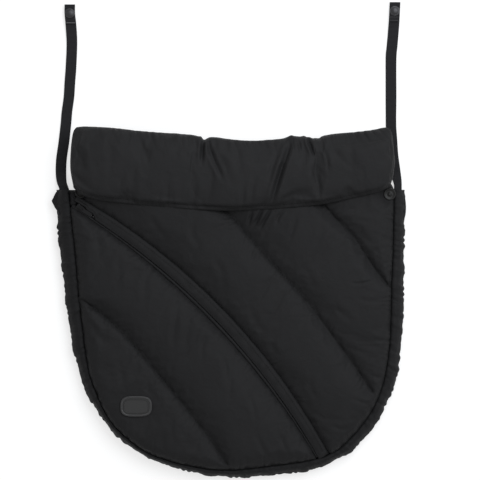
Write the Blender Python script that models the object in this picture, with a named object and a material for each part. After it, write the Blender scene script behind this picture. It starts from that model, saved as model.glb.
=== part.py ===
"""Car seat footmuff, laid flat with its front up.

A padded front closes over the legs and opens along a diagonal zip. Its top edge folds down as a
cuff. An elasticated side band wraps round to the back, and two webbing straps end in press snaps.
The part lies on z = 0, and +Y runs from the foot of the bag towards the straps.
"""
import math

import bmesh
import bpy
import numpy as np
from mathutils import Matrix, Vector
from mathutils.geometry import delaunay_2d_cdt

# Body outline, all lengths in metres
BODY_WIDTH = 0.450
BODY_LENGTH = 0.373
GAP = 0.0003
OVERRUN = 0.002

# Layers of the front, from the floor up
HOLLOW_HEIGHT = 0.015
LINING_THICKNESS = 0.002
SHELL_THICKNESS = 0.0008
SEAM_LOFT = 0.007
QUILT_LOFT = 0.0085
GUARD_SEAM_LOFT = 0.0098
FULL_LOFT = 0.017
LOFT_RUN = 0.026
PAD_SPACING = 0.019
PAD_CLEAR_SHARE = 0.55
SEAM_CLEAR_SHARE = 1 / 6
BEND_LIMIT_SHARE = 0.4
FILL_SLOPE_SHARE = 1.6

# Silhouette and front seam: shares of half the body width, and of the body length
SILHOUETTE_SHARES = [
    (-1.003, 1.000), (-0.994, 0.843), (-0.968, 0.714), (-0.934, 0.547), (-0.884, 0.387),
    (-0.806, 0.268), (-0.679, 0.157), (-0.494, 0.073), (-0.321, 0.035), (-0.107, 0.004),
    (0.026, 0.000), (0.176, 0.004), (0.448, 0.024), (0.656, 0.073), (0.801, 0.157),
    (0.910, 0.268), (0.962, 0.352), (0.991, 0.512), (1.000, 0.721), (1.003, 0.923), (1.003, 1.000),
]
SEAM_SHARES = [
    (-0.934, 1.000), (-0.899, 0.815), (-0.870, 0.624), (-0.824, 0.401), (-0.777, 0.303),
    (-0.697, 0.202), (-0.592, 0.136), (-0.465, 0.084), (-0.298, 0.050), (-0.130, 0.031),
    (0.038, 0.028), (0.240, 0.042), (0.408, 0.056), (0.517, 0.070), (0.610, 0.094),
    (0.720, 0.157), (0.812, 0.233), (0.876, 0.324), (0.910, 0.436), (0.922, 0.547),
    (0.925, 0.659), (0.934, 0.791), (0.939, 0.927), (0.942, 1.000),
]
OUTLINE_STATIONS = 48

# Quilting lines, in the same shares
QUILT_LOWER_SHARES = [(-0.855, 0.622), (-0.633, 0.512), (-0.384, 0.338), (-0.165, 0.174), (-0.020, 0.048)]
QUILT_LONG_SHARES = [
    (-0.379, 1.132), (-0.028, 0.930), (0.194, 0.775), (0.425, 0.624), (0.592, 0.491),
    (0.702, 0.390), (0.845, 0.300),
]
QUILT_SHORT_SHARES = [(0.286, 1.132), (0.564, 0.927), (0.702, 0.836), (0.812, 0.749), (0.900, 0.690)]
QUILT_STATIONS = 12

# Side band: the front seam, round the side, and in under the back
BAND_THICKNESS = 0.003
BAND_BACK_THICKNESS = 0.003
BAND_MIDDLE_HEIGHT = 0.011
BAND_UNDER_RADIUS = 0.010
BAND_SEAM_DEPTH = 0.0065
BAND_CORNER_SHARE = 0.8
BACK_WIDTH = 0.031
CASING_WIDTH = 0.013
CASING_HEIGHT = 0.006
CASING_FACE_SHARE = 0.6
CASING_LIP_SHARES = (0.7, 0.9)
ELASTIC_WIDTH = 0.008
ELASTIC_THICKNESS = 0.0014
TUNNEL_CLEARANCE = 0.0005

# Diagonal zip: an arc through two points, bulging to the upper right
ZIP_START_SHARE = (-0.902, 0.960)
ZIP_END_SHARE = (0.526, 0.080)
ZIP_BULGE = 0.0294
ZIP_HALF_START = 0.0072
ZIP_HALF_MIDDLE = 0.0100
ZIP_HALF_END = 0.0075
ZIP_STATIONS = 30
COIL_OFFSET = 0.0035
COIL_WIDTH = 0.0022
COIL_HEIGHT = 0.0020
COIL_GAP = 0.00015
TAPE_HEIGHT = 0.0030
TAPE_THICKNESS = 0.0008
TAPE_HEAD = 0.0010
STOP_LENGTH = 0.0020
STOP_INSET = 0.0035
ZIP_FOOT = 0.0130
BOTTOM_STOP_LENGTH = 0.0030
GUARD_THICKNESS = 0.0014
GUARD_EDGE = 0.0026
GUARD_CLEARANCE = 0.0020
GUARD_HEAD = 0.0360

# Zip slider and pull
SLIDER_PLACE = 0.0120
SLIDER_LENGTH = 0.0110
SLIDER_HEAD_WIDTH = 0.0084
SLIDER_FOOT_WIDTH = 0.0068
SLIDER_PLATE = 0.0012
SLIDER_CLEARANCE = 0.0003
SLIDER_END_CLEARANCE = 0.0080
POST_LENGTH = 0.0032
POST_WIDTH = 0.0016
BRIDGE_LENGTH = 0.0060
BRIDGE_WIDTH = 0.0016
BRIDGE_HEIGHT = 0.0030
BRIDGE_WALL = 0.0010
PULL_LENGTH = 0.0180
PULL_WIDTH = 0.0050
PULL_THICKNESS = 0.0010
PULL_WINDOW = 0.0036
PULL_WINDOW_WIDTH = 0.0024

# Folding line of the flap, in outline shares
FLAP_FOOT_SHARE = (0.574, 0.084)
FLAP_HEAD_SHARE = (0.890, 0.965)
FLAP_AXIS_RISE = 0.0035
FOLD_STATIONS = 24
LINING_FOOT_STATIONS = 2

# Top of the flap, above the body's corners
PANEL_RISE = 0.0637
PANEL_TOP_LEFT_SHARE = -0.868
PANEL_TOP_RIGHT_SHARE = 0.864
PANEL_TOP_STATIONS = 14
FOLD_RISE = 0.0767

# Cuff: shares of half its width, and of its depth below the folding axis
CUFF_WIDTH = 0.421
CUFF_DEPTH = 0.104
CUFF_SHIFT = 0.0032
CUFF_LOFT = 0.0135
CUFF_EDGE_LOFT = 0.005
CUFF_FOLD_LOFT = 0.009
CUFF_BACKING = 0.0014
CUFF_SPACING = 0.024
CUFF_TOP_SHARES = [
    (-0.981, 0.000), (-0.963, 0.042), (-0.883, 0.048), (-0.605, 0.006), (-0.315, -0.041),
    (-0.167, -0.085), (0.074, -0.119), (0.321, -0.094), (0.580, -0.038), (0.833, 0.012), (0.920, 0.054),
]
CUFF_BOTTOM_SHARES = [
    (0.951, 0.000), (0.990, -0.213), (0.994, -0.388), (0.981, -0.575), (0.957, -0.719),
    (0.833, -0.800), (0.593, -0.908), (0.358, -0.970), (0.043, -1.000), (-0.167, -0.995),
    (-0.401, -0.963), (-0.722, -0.900), (-0.892, -0.838), (-0.980, -0.720), (-1.000, -0.4875),
    (-0.997, -0.2375), (-0.988, -0.0625),
]

# Straps: along and sideways, as shares of each strap's length
WEBBING_WIDTH = 0.0135
WEBBING_THICKNESS = 0.0015
STRAP_LEFT_LENGTH = 0.241
STRAP_RIGHT_LENGTH = 0.244
STRAP_LEFT_ROOT_SHARE = -0.974
STRAP_RIGHT_ROOT_SHARE = 0.962
STRAP_TUCK = 0.0165
STRAP_RAMP = 0.022
STRAP_ROOT_HEIGHT = 0.01025
STRAP_LEFT_FREE_END = 0.085
STRAP_RIGHT_FREE_END = 0.088
STRAP_MIDDLE_LENGTH = 0.034
STRAP_STATIONS = 10
STRAP_LEFT_SHARES = [
    (-0.07, 0.0205), (0.00, 0.017), (0.035, 0.004), (0.07, -0.003), (0.11, -0.005), (0.17, -0.002),
    (0.26, 0.011), (0.36, 0.022), (0.42, 0.027), (0.50, 0.038), (0.58, 0.043), (0.66, 0.049),
    (0.79, 0.054), (0.89, 0.049), (0.95, 0.043), (1.00, 0.043),
]
STRAP_RIGHT_SHARES = [
    (-0.07, -0.0094), (0.00, -0.0061), (0.06, -0.006), (0.13, -0.014), (0.19, -0.022), (0.28, -0.028),
    (0.35, -0.032), (0.50, -0.032), (0.70, -0.032), (0.76, -0.027), (0.83, -0.021), (0.90, -0.016),
    (1.00, -0.011),
]
END_FOLD_LENGTH = 0.0255
END_REST = 0.0240

# Snaps: a stud on each corner of the body, a socket and its cap on each strap end
SNAP_DIAMETER = 0.0130
SNAP_INSET = 0.0115
CAP_THICKNESS = 0.0020
CAP_EDGE = 0.0006
SOCKET_THICKNESS = 0.0024
SOCKET_BORE = 0.0050
SOCKET_DEPTH = 0.0016
STUD_DIAMETER = 0.0160
STUD_FLANGE = 0.0014
STUD_MARGIN = 0.0030
STUD_DISH = 0.0006
STUD_POST_DIAMETER = 0.0044
STUD_POST_HEIGHT = 0.0022
SHANK_DIAMETER = 0.0030
SHANK_CLEARANCE = 0.0004
RIVET_DIAMETER = 0.0110
RIVET_THICKNESS = 0.0012
STUD_LEFT_SHARE = (-0.861, 0.992)
STUD_RIGHT_SHARE = (0.9165, 0.985)
ROUND_STEPS = 20

# Sewn-in tabs at the top corners
ANCHOR_THICKNESS = 0.004
ANCHOR_LEFT_SHARES = [(-0.999, 0.995), (-1.018, 0.978), (-1.030, 0.962), (-1.018, 0.945), (-0.999, 0.928)]
ANCHOR_RIGHT_SHARES = [(1.000, 0.985), (1.008, 0.965), (1.011, 0.940), (1.010, 0.920), (1.003, 0.900)]

# Badge: left bare
PATCH_WIDTH = 0.0403
PATCH_HEIGHT = 0.0265
PATCH_THICKNESS = 0.0013
PATCH_RIM = 0.0014
PATCH_RECESS = 0.0004
PATCH_PLACE_SHARE = (-0.541, 0.250)
PATCH_MARGIN = 0.004
PATCH_POWER = 3.6
PATCH_STEPS = 28

# Levels worked out from the layers
PANEL_BASE = HOLLOW_HEIGHT + LINING_THICKNESS + GAP
SEAM_TOP = PANEL_BASE + SEAM_LOFT
TAPE_BASE = PANEL_BASE + TAPE_HEIGHT
COIL_BASE = TAPE_BASE + TAPE_THICKNESS + GAP
PLATE_BASE = COIL_BASE + COIL_HEIGHT + SLIDER_CLEARANCE
GUARD_BASE = COIL_BASE + COIL_HEIGHT + GUARD_CLEARANCE
PANEL_CROWN = PANEL_BASE + FULL_LOFT
CUFF_BASE = PANEL_CROWN + GAP
FLAP_AXIS_HEIGHT = PANEL_CROWN + FLAP_AXIS_RISE
STUD_BASE = SEAM_TOP + GAP

# Colours, roughness and metallic value of each material
FINISHES = {
    "shell_nylon": ((0.017, 0.017, 0.017), 0.62, 0.0),
    "band_nylon": ((0.015, 0.015, 0.015), 0.66, 0.0),
    "wadding_white": ((0.80, 0.79, 0.76), 0.95, 0.0),
    "lining_fleece": ((0.022, 0.022, 0.023), 0.95, 0.0),
    "elastic_white": ((0.70, 0.70, 0.68), 0.80, 0.0),
    "zip_tape": ((0.010, 0.010, 0.010), 0.80, 0.0),
    "zip_coil": ((0.008, 0.008, 0.008), 0.35, 0.0),
    "zip_metal": ((0.020, 0.020, 0.022), 0.35, 0.9),
    "webbing": ((0.013, 0.013, 0.014), 0.70, 0.0),
    "snap_metal": ((0.090, 0.090, 0.095), 0.38, 0.9),
    "patch_rubber": ((0.050, 0.050, 0.050), 0.60, 0.0),
}


def plan(share):
    """Plan position, in metres, of a point given in outline shares."""
    return np.array([share[0] * BODY_WIDTH / 2, share[1] * BODY_LENGTH])


def smooth_curve(points, count):
    """Resample a smooth curve through the points, evenly by length."""
    points = [np.asarray(p, float) for p in points]
    first = 2 * points[0] - points[1]
    last = 2 * points[-1] - points[-2]
    padded = [first] + points + [last]
    dense = []
    for i in range(1, len(padded) - 2):
        a, b, c, d = padded[i - 1:i + 3]
        for t in np.linspace(0, 1, 16, endpoint=False):
            dense.append(0.5 * (2 * b + (c - a) * t + (2 * a - 5 * b + 4 * c - d) * t ** 2
                                + (3 * b - a - 3 * c + d) * t ** 3))
    dense.append(points[-1])
    return resample(np.array(dense), count)


def resample(points, count):
    """Points spaced evenly along a polyline."""
    steps = np.linalg.norm(np.diff(points, axis=0), axis=1)
    travel = np.concatenate([[0], np.cumsum(steps)])
    wanted = np.linspace(0, travel[-1], count)
    return np.stack([np.interp(wanted, travel, points[:, k]) for k in range(points.shape[1])], axis=1)


SILHOUETTE = smooth_curve([plan(p) for p in SILHOUETTE_SHARES], OUTLINE_STATIONS)
SEAM = smooth_curve([plan(p) for p in SEAM_SHARES], OUTLINE_STATIONS)


def inset(outline, distance):
    """Move a counter-clockwise outline inward by one distance all round."""
    before = outline - np.roll(outline, 1, axis=0)
    after = np.roll(outline, -1, axis=0) - outline
    before /= np.linalg.norm(before, axis=1)[:, None]
    after /= np.linalg.norm(after, axis=1)[:, None]
    left = np.stack([-before[:, 1], before[:, 0]], axis=1)
    right = np.stack([-after[:, 1], after[:, 0]], axis=1)
    bend = 1 + (left * right).sum(axis=1)
    return outline + (left + right) / np.maximum(bend, BEND_LIMIT_SHARE)[:, None] * distance


def counter_clockwise(outline):
    """The outline, turned to run counter-clockwise."""
    x, y = outline[:, 0], outline[:, 1]
    area = (x * np.roll(y, -1) - np.roll(x, -1) * y).sum()
    return outline if area > 0 else outline[::-1]


def distance_to_line(points, line):
    """Distance of each point to a polyline, and the place along it of the nearest point."""
    best = np.full(len(points), np.inf)
    place = np.zeros(len(points))
    for i in range(len(line) - 1):
        a, b = line[i], line[i + 1]
        run = b - a
        t = np.clip(((points - a) @ run) / (run @ run), 0, 1)
        gap = np.linalg.norm(points - (a + t[:, None] * run), axis=1)
        nearer = gap < best
        best = np.where(nearer, gap, best)
        place = np.where(nearer, i + t, place)
    return best, place


def inside(points, outline):
    """True for the points inside a closed outline."""
    x, y = points[:, 0][:, None], points[:, 1][:, None]
    ax, ay = outline[:, 0], outline[:, 1]
    bx, by = np.roll(ax, -1), np.roll(ay, -1)
    crosses = (ay > y) != (by > y)
    rise = np.where(by == ay, 1, by - ay)
    return (crosses & (x < ax + (y - ay) / rise * (bx - ax))).sum(axis=1) % 2 == 1


class ZipArc:
    """The arc that the coil follows: offsets are positive away from its centre."""

    def __init__(self):
        start = plan(ZIP_START_SHARE)
        end = plan(ZIP_END_SHARE)
        chord = end - start
        half = np.linalg.norm(chord) / 2
        self.radius = (half ** 2 + ZIP_BULGE ** 2) / (2 * ZIP_BULGE)
        away = np.array([-chord[1], chord[0]]) / (2 * half)
        self.centre = (start + end) / 2 - away * (self.radius - ZIP_BULGE)
        self.start_angle = math.atan2(*(start - self.centre)[::-1])
        end_angle = math.atan2(*(end - self.centre)[::-1])
        self.length = (self.start_angle - end_angle) * self.radius

    def angle(self, travel):
        """Direction from the centre, in radians, after a length of travel from the start."""
        return self.start_angle - travel / self.radius

    def point(self, travel, offset):
        """Plan position at a length of travel and an offset across the zip."""
        turn = self.angle(travel)
        reach = self.radius + offset
        return self.centre + reach * np.array([math.cos(turn), math.sin(turn)])

    def half_width(self, travel):
        """Half the width of the sewn-down strip between the two padded panels."""
        share = travel / self.length
        base = ZIP_HALF_START + (ZIP_HALF_END - ZIP_HALF_START) * share
        swell = ZIP_HALF_MIDDLE - (ZIP_HALF_START + ZIP_HALF_END) / 2
        return base + swell * math.sin(math.pi * share)


ZIP = ZipArc()


def zip_line(side, count=ZIP_STATIONS):
    """One edge of the sewn-down strip: side is -1 for the lower panel, +1 for the flap."""
    travels = np.linspace(0, ZIP.length, count)
    return np.array([ZIP.point(s, side * ZIP.half_width(s)) for s in travels])


def seam_run(start, end):
    """Points of the front seam between the stations next to two places."""
    first = distance_to_line(np.array([start]), SEAM)[1][0]
    last = distance_to_line(np.array([end]), SEAM)[1][0]
    on_seam = [SEAM[int(first)] + (first % 1) * (SEAM[int(first) + 1] - SEAM[int(first)])]
    on_seam += [SEAM[i] for i in range(int(first) + 1, int(last) + 1)]
    step = min(int(last), len(SEAM) - 2)
    on_seam.append(SEAM[step] + (last - step) * (SEAM[step + 1] - SEAM[step]))
    tidy = [on_seam[0]]
    for point in on_seam[1:]:
        if np.linalg.norm(point - tidy[-1]) > SHELL_THICKNESS:
            tidy.append(point)
    return tidy


def lower_outline():
    """Outline of the fixed lower left panel."""
    edge = zip_line(-1)
    seam = seam_run(edge[0], edge[-1])
    return counter_clockwise(np.array(seam + list(edge[::-1][1:-1])))


def side_outline():
    """Outline of the strip of the front that stays behind the flap's folding line."""
    foot, head = plan(FLAP_FOOT_SHARE), plan(FLAP_HEAD_SHARE)
    seam = seam_run(foot, SEAM[-1])
    corner = np.array([head[0], SEAM[-1][1]])
    fold = resample(np.array([head, foot]), FOLD_STATIONS)
    return counter_clockwise(np.array(seam + [corner] + list(fold[:-1])))


def flap_outline(foot_trim=0):
    """Outline of the opening part of the front, less some steps of the zip line at its foot."""
    edge = zip_line(+1)[:ZIP_STATIONS - foot_trim]
    foot, head = plan(FLAP_FOOT_SHARE), plan(FLAP_HEAD_SHARE)
    fold = resample(np.array([foot, head]), FOLD_STATIONS)
    top = BODY_LENGTH + PANEL_RISE
    right = np.array([PANEL_TOP_RIGHT_SHARE * BODY_WIDTH / 2, top])
    left = np.array([PANEL_TOP_LEFT_SHARE * BODY_WIDTH / 2, top])
    across = resample(np.array([right, left]), PANEL_TOP_STATIONS)
    stud = plan(STUD_RIGHT_SHARE)
    beside = np.array([stud[0] - STUD_DIAMETER / 2 - 2 * GAP, stud[1]])
    shoulder = (beside + right) / 2
    return counter_clockwise(np.array(list(edge) + list(fold) + [beside, shoulder] + list(across)))


def collection_reset():
    """Clear the scene."""
    for old in list(bpy.data.objects):
        bpy.data.objects.remove(old, do_unlink=True)


def material(name):
    """A plain material with the finish's colour, roughness and metallic value."""
    known = bpy.data.materials.get(name)
    if known:
        return known
    colour, roughness, metallic = FINISHES[name]
    made = bpy.data.materials.new(name)
    made.use_nodes = True
    shader = made.node_tree.nodes["Principled BSDF"]
    shader.inputs["Base Color"].default_value = (*colour, 1)
    shader.inputs["Roughness"].default_value = roughness
    shader.inputs["Metallic"].default_value = metallic
    return made


def add_object(name, bm, finish, pivot=None, smooth=True):
    """Make a named object from a mesh in world places, hung on its joint's empty if it has one."""
    bmesh.ops.recalc_face_normals(bm, faces=bm.faces)
    mesh = bpy.data.meshes.new(name)
    bm.to_mesh(mesh)
    bm.free()
    made = bpy.data.objects.new(name, mesh)
    bpy.context.collection.objects.link(made)
    mesh.materials.append(material(finish))
    if pivot is not None:
        mesh.transform(pivot.matrix_world.inverted())
        made.parent = pivot
    if smooth:
        mesh.shade_smooth()
        mesh.set_sharp_from_angle(angle=math.radians(40))
    return made


def add_pivot(name, place, axis, parent=None):
    """An empty on a joint's axis, with its own Z along the axis."""
    empty = bpy.data.objects.new(name, None)
    bpy.context.collection.objects.link(empty)
    turn = Vector((0, 0, 1)).rotation_difference(Vector(axis)).to_matrix().to_4x4()
    world = Matrix.Translation(Vector(place)) @ turn
    if parent is not None:
        empty.parent = parent
        empty.matrix_local = parent.matrix_world.inverted() @ world
    else:
        empty.matrix_local = world
    bpy.context.view_layer.update()
    return empty


def prism(bm, outline, low, high):
    """Add an upright prism on a plan outline."""
    bottom = [bm.verts.new((x, y, low)) for x, y in outline]
    top = [bm.verts.new((x, y, high)) for x, y in outline]
    bm.faces.new(bottom[::-1])
    bm.faces.new(top)
    for i in range(len(outline)):
        j = (i + 1) % len(outline)
        bm.faces.new((bottom[i], bottom[j], top[j], top[i]))


def sweep(bm, rings):
    """Join rings of points, in order, into one closed body with capped ends."""
    made = [[bm.verts.new(tuple(p)) for p in ring] for ring in rings]
    for one, other in zip(made, made[1:]):
        for i in range(len(one)):
            j = (i + 1) % len(one)
            bm.faces.new((one[i], one[j], other[j], other[i]))
    bm.faces.new(made[0][::-1])
    bm.faces.new(made[-1])


def sweep_tunnel(bm, outer, inner):
    """Join two sets of rings into one body with an open tunnel through it."""
    outside = [[bm.verts.new(tuple(p)) for p in ring] for ring in outer]
    within = [[bm.verts.new(tuple(p)) for p in ring] for ring in inner]
    size = len(outside[0])
    for rings in (outside, within):
        for one, other in zip(rings, rings[1:]):
            for i in range(size):
                j = (i + 1) % size
                bm.faces.new((one[i], one[j], other[j], other[i]))
    for end in (0, -1):
        for i in range(size):
            j = (i + 1) % size
            bm.faces.new((outside[end][i], outside[end][j], within[end][j], within[end][i]))


def turned(bm, profile, centre, steps=ROUND_STEPS):
    """Turn a profile of (radius, height) points, both ends on the axis, about an upright line."""
    rings = []
    for radius, height in profile[1:-1]:
        ring = []
        for k in range(steps):
            turn = 2 * math.pi * k / steps
            ring.append(bm.verts.new((centre[0] + radius * math.cos(turn),
                                      centre[1] + radius * math.sin(turn), centre[2] + height)))
        rings.append(ring)
    for one, other in zip(rings, rings[1:]):
        for i in range(steps):
            j = (i + 1) % steps
            bm.faces.new((one[i], one[j], other[j], other[i]))
    for ring, (radius, height) in ((rings[0], profile[0]), (rings[-1], profile[-1])):
        tip = bm.verts.new((centre[0], centre[1], centre[2] + height))
        for i in range(steps):
            bm.faces.new((ring[i], ring[(i + 1) % steps], tip))


def loft_heights(points, lines, crown, run):
    """Height of padding over each point: low on the sewn lines, full at a run's distance."""
    heights = np.full(len(points), crown)
    for line, lofts in lines:
        gap, place = distance_to_line(points, line)
        at_line = np.interp(place, np.arange(len(line)), lofts)
        ease = 1 - np.clip(gap / run, 0, 1)
        heights = np.minimum(heights, at_line + (crown - at_line) * np.sqrt(1 - ease ** 2))
    return heights


def pad_mesh(outline, seams, flats, spacing):
    """Triangles over an outline, with edges on the seams and the rims of the flats."""
    points = [tuple(p) for p in outline]
    edges = []
    for line in seams:
        kept = [p for p in line if inside(np.array([p]), outline)[0]]
        clear = spacing * SEAM_CLEAR_SHARE
        kept = [p for p in kept if distance_to_line(np.array([p]), closed(outline))[0][0] > clear]
        first = len(points)
        points += [tuple(p) for p in kept]
        edges += [(first + i, first + i + 1) for i in range(len(kept) - 1)]
    for flat in flats:
        first = len(points)
        points += [tuple(p) for p in flat]
        edges += [(first + i, first + (i + 1) % len(flat)) for i in range(len(flat))]
    low, high = outline.min(axis=0), outline.max(axis=0)
    row_step = spacing * math.sqrt(3) / 2
    grid = []
    for row in range(int((high[1] - low[1]) / row_step) + 1):
        shift = (row % 2) * spacing / 2
        for column in range(int((high[0] - low[0]) / spacing) + 1):
            grid.append((low[0] + shift + column * spacing, low[1] + (row + 0.5) * row_step))
    grid = np.array(grid)
    grid = grid[inside(grid, outline)]
    near = distance_to_line(grid, closed(outline))[0]
    for line in list(seams) + [closed(flat) for flat in flats]:
        near = np.minimum(near, distance_to_line(grid, line)[0])
    for flat in flats:
        near = np.where(inside(grid, flat), 0, near)
    points += [tuple(p) for p in grid[near > spacing * PAD_CLEAR_SHARE]]
    found = delaunay_2d_cdt([Vector(p) for p in points], edges, [list(range(len(outline)))], 1,
                            SHELL_THICKNESS / 100)
    return np.array([(v.x, v.y) for v in found[0]]), [tuple(face) for face in found[2]]


def closed(outline):
    """The outline with its first point repeated at the end."""
    return np.vstack([outline, outline[:1]])


def pad_surface(bm, points, faces, heights, base):
    """Add the top of a pad and the skirt that runs down from its edge."""
    tops = [bm.verts.new((x, y, base + h)) for (x, y), h in zip(points, heights)]
    for face in faces:
        bm.faces.new([tops[i] for i in face])
    bmesh.ops.recalc_face_normals(bm, faces=bm.faces)
    rim = [e for e in bm.edges if e.is_boundary]
    grown = bmesh.ops.extrude_edge_only(bm, edges=rim)["geom"]
    for vert in (g for g in grown if isinstance(g, bmesh.types.BMVert)):
        vert.co.z = base
    if sum(f.normal.z for f in bm.faces) < 0:
        bmesh.ops.reverse_faces(bm, faces=bm.faces)


class Pad:
    """A padded piece: an outline, the lines sewn into it, and its levels."""

    def __init__(self, outline, lines, base, crown, run=LOFT_RUN, flats=(), studs=(), spacing=PAD_SPACING):
        self.outline = inset(outline, GAP / 2)
        pressed = [disc(place, STUD_DIAMETER + STUD_MARGIN) for place in studs]
        own_edge = (closed(self.outline), lines[0][1])
        self.lines = [own_edge] + list(lines[1:]) + [rim_line(rim, SEAM_LOFT) for rim in pressed]
        self.levels = list(flats) + [(rim, SEAM_LOFT) for rim in pressed]
        self.base = base
        self.crown = crown
        self.run = run
        self.flats = flats
        self.spacing = spacing

    def heights(self, points):
        """Loft over the base, held level on the flats."""
        result = loft_heights(points, self.lines, self.crown, self.run)
        for rim, level in self.levels:
            gap = distance_to_line(points, closed(rim))[0]
            within = inside(points, rim) | (gap < SHELL_THICKNESS / 4)
            result = np.where(within, level, result)
        return result

    def mesh(self):
        """Plan points and triangles of the pad, with edges along its sewn lines."""
        seams = [line for line, _ in self.lines[1:]]
        return pad_mesh(self.outline, seams, [rim for rim, _ in self.flats], self.spacing)

    def shell(self, name, finish, pivot=None):
        """The woven shell: a tray of even thickness, open on its under side."""
        points, faces = self.mesh()
        bm = bmesh.new()
        pad_surface(bm, points, faces, self.heights(points), self.base)
        mesh_object = add_object(name, bm, finish, pivot)
        fabric = mesh_object.modifiers.new("fabric", "SOLIDIFY")
        fabric.thickness = SHELL_THICKNESS
        fabric.offset = -1
        fabric.use_rim = True
        return mesh_object

    def wadding(self, name, pivot=None):
        """The wadding that fills the shell, down to the lining."""
        points, faces = self.mesh()
        heights = self.heights(points) - SHELL_THICKNESS * FILL_SLOPE_SHARE - GAP
        drawn_in = inset(self.outline, SHELL_THICKNESS + GAP)
        for before, after in zip(self.outline, drawn_in):
            points[np.linalg.norm(points - before, axis=1) < SHELL_THICKNESS / 4] = after
        bm = bmesh.new()
        pad_surface(bm, points, faces, heights, self.base)
        rim = [e for e in bm.edges if e.is_boundary]
        bmesh.ops.contextual_create(bm, geom=rim)
        return add_object(name, bm, "wadding_white", pivot)


def rim_line(outline, loft):
    """A pad's own edge as a sewn line, with one loft or a loft for each point."""
    line = closed(outline)
    lofts = np.full(len(line), loft) if np.isscalar(loft) else np.append(loft, loft[0])
    return line, lofts


def quilt_line(shares):
    """A quilting line with its loft."""
    line = smooth_curve([plan(p) for p in shares], QUILT_STATIONS)
    return line, np.full(len(line), QUILT_LOFT)


def disc(place, diameter, steps=ROUND_STEPS // 2):
    """A round outline in plan."""
    turns = np.linspace(0, 2 * math.pi, steps, endpoint=False)
    return np.stack([place[0] + diameter / 2 * np.cos(turns), place[1] + diameter / 2 * np.sin(turns)], axis=1)


def patch_outline(grow=0.0):
    """The badge's outline: a rectangle with bulging sides and soft corners."""
    centre = plan(PATCH_PLACE_SHARE)
    points = []
    for k in range(PATCH_STEPS):
        turn = 2 * math.pi * k / PATCH_STEPS
        c, s = math.cos(turn), math.sin(turn)
        points.append((centre[0] + (PATCH_WIDTH / 2 + grow) * math.copysign(abs(c) ** (2 / PATCH_POWER), c),
                       centre[1] + (PATCH_HEIGHT / 2 + grow) * math.copysign(abs(s) ** (2 / PATCH_POWER), s)))
    return np.array(points)


def bore(cut_object, place, low, high):
    """Cut a round hole for a snap's shank."""
    bm = bmesh.new()
    radius = SHANK_DIAMETER / 2 + SHANK_CLEARANCE
    profile = [(0, 0), (radius, 0), (radius, high - low + 2 * OVERRUN), (0, high - low + 2 * OVERRUN)]
    turned(bm, profile, (place[0], place[1], low - OVERRUN), ROUND_STEPS // 2)
    bmesh.ops.recalc_face_normals(bm, faces=bm.faces)
    mesh = bpy.data.meshes.new(cut_object.name + "_bore")
    bm.to_mesh(mesh)
    bm.free()
    cutter = bpy.data.objects.new(mesh.name, mesh)
    bpy.context.collection.objects.link(cutter)
    cutter.hide_render = True
    cutter.display_type = "WIRE"
    cut = cut_object.modifiers.new("shank_hole", "BOOLEAN")
    cut.operation = "DIFFERENCE"
    cut.object = cutter


def lining(name, outline, finish="lining_fleece", pivot=None):
    """A flat lining under a panel."""
    bm = bmesh.new()
    prism(bm, inset(outline, GAP / 2), HOLLOW_HEIGHT, HOLLOW_HEIGHT + LINING_THICKNESS)
    return add_object(name, bm, finish, pivot, smooth=False)


def build_lower_panel():
    """The fixed lower left front: shell, wadding and lining."""
    outline = lower_outline()
    lines = [rim_line(outline, SEAM_LOFT), quilt_line(QUILT_LOWER_SHARES)]
    pad = Pad(outline, lines, PANEL_BASE, FULL_LOFT, flats=[(patch_outline(PATCH_MARGIN), FULL_LOFT)])
    pad.shell("front_panel_lower", "shell_nylon")
    pad.wadding("wadding_lower")
    lining("lining_lower", outline)


def build_side_panel():
    """The strip of the front beyond the flap's folding line."""
    outline = side_outline()
    lines = [rim_line(outline, side_rim_lofts(outline)), quilt_line(QUILT_LONG_SHARES),
             quilt_line(QUILT_SHORT_SHARES)]
    place = plan(STUD_RIGHT_SHARE)
    pad = Pad(outline, lines, PANEL_BASE, FULL_LOFT, studs=[plan(STUD_LEFT_SHARE), plan(STUD_RIGHT_SHARE)])
    shell = pad.shell("front_panel_side", "shell_nylon")
    fill = pad.wadding("wadding_side")
    sheet = lining("lining_side", outline)
    for piece in (shell, fill, sheet):
        bore(piece, place, HOLLOW_HEIGHT, PANEL_CROWN)


def fold_loft(points):
    """Loft on the folding line: full between the quilting lines, low at its two ends."""
    foot, head = plan(FLAP_FOOT_SHARE), plan(FLAP_HEAD_SHARE)
    ends = np.array([foot, head])
    away = np.minimum(np.linalg.norm(points - ends[0], axis=1), np.linalg.norm(points - ends[1], axis=1))
    return np.interp(away, [STUD_DIAMETER, STUD_DIAMETER + 2 * LOFT_RUN], [SEAM_LOFT, FULL_LOFT])


def on_fold(points):
    """True for the points that lie on the flap's folding line."""
    ends = np.array([plan(FLAP_FOOT_SHARE), plan(FLAP_HEAD_SHARE)])
    return distance_to_line(points, ends)[0] < SHELL_THICKNESS / 4


def side_rim_lofts(outline):
    """Loft round the side strip: open to the flap along the folding line."""
    return np.where(on_fold(outline), fold_loft(outline), SEAM_LOFT)


def flap_rim_lofts(outline):
    """Loft round the flap: thicker where the zip guard is sewn on, full along the folding line."""
    lofts = np.full(len(outline), SEAM_LOFT)
    gap, place = distance_to_line(outline, zip_line(+1))
    on_zip = gap < SHELL_THICKNESS / 4
    travel = place / (ZIP_STATIONS - 1) * ZIP.length
    guard = np.interp(travel, [GUARD_HEAD / 2, GUARD_HEAD], [SEAM_LOFT, GUARD_SEAM_LOFT])
    lofts = np.where(on_zip, guard, lofts)
    return np.where(on_fold(outline), fold_loft(outline), lofts)


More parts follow.
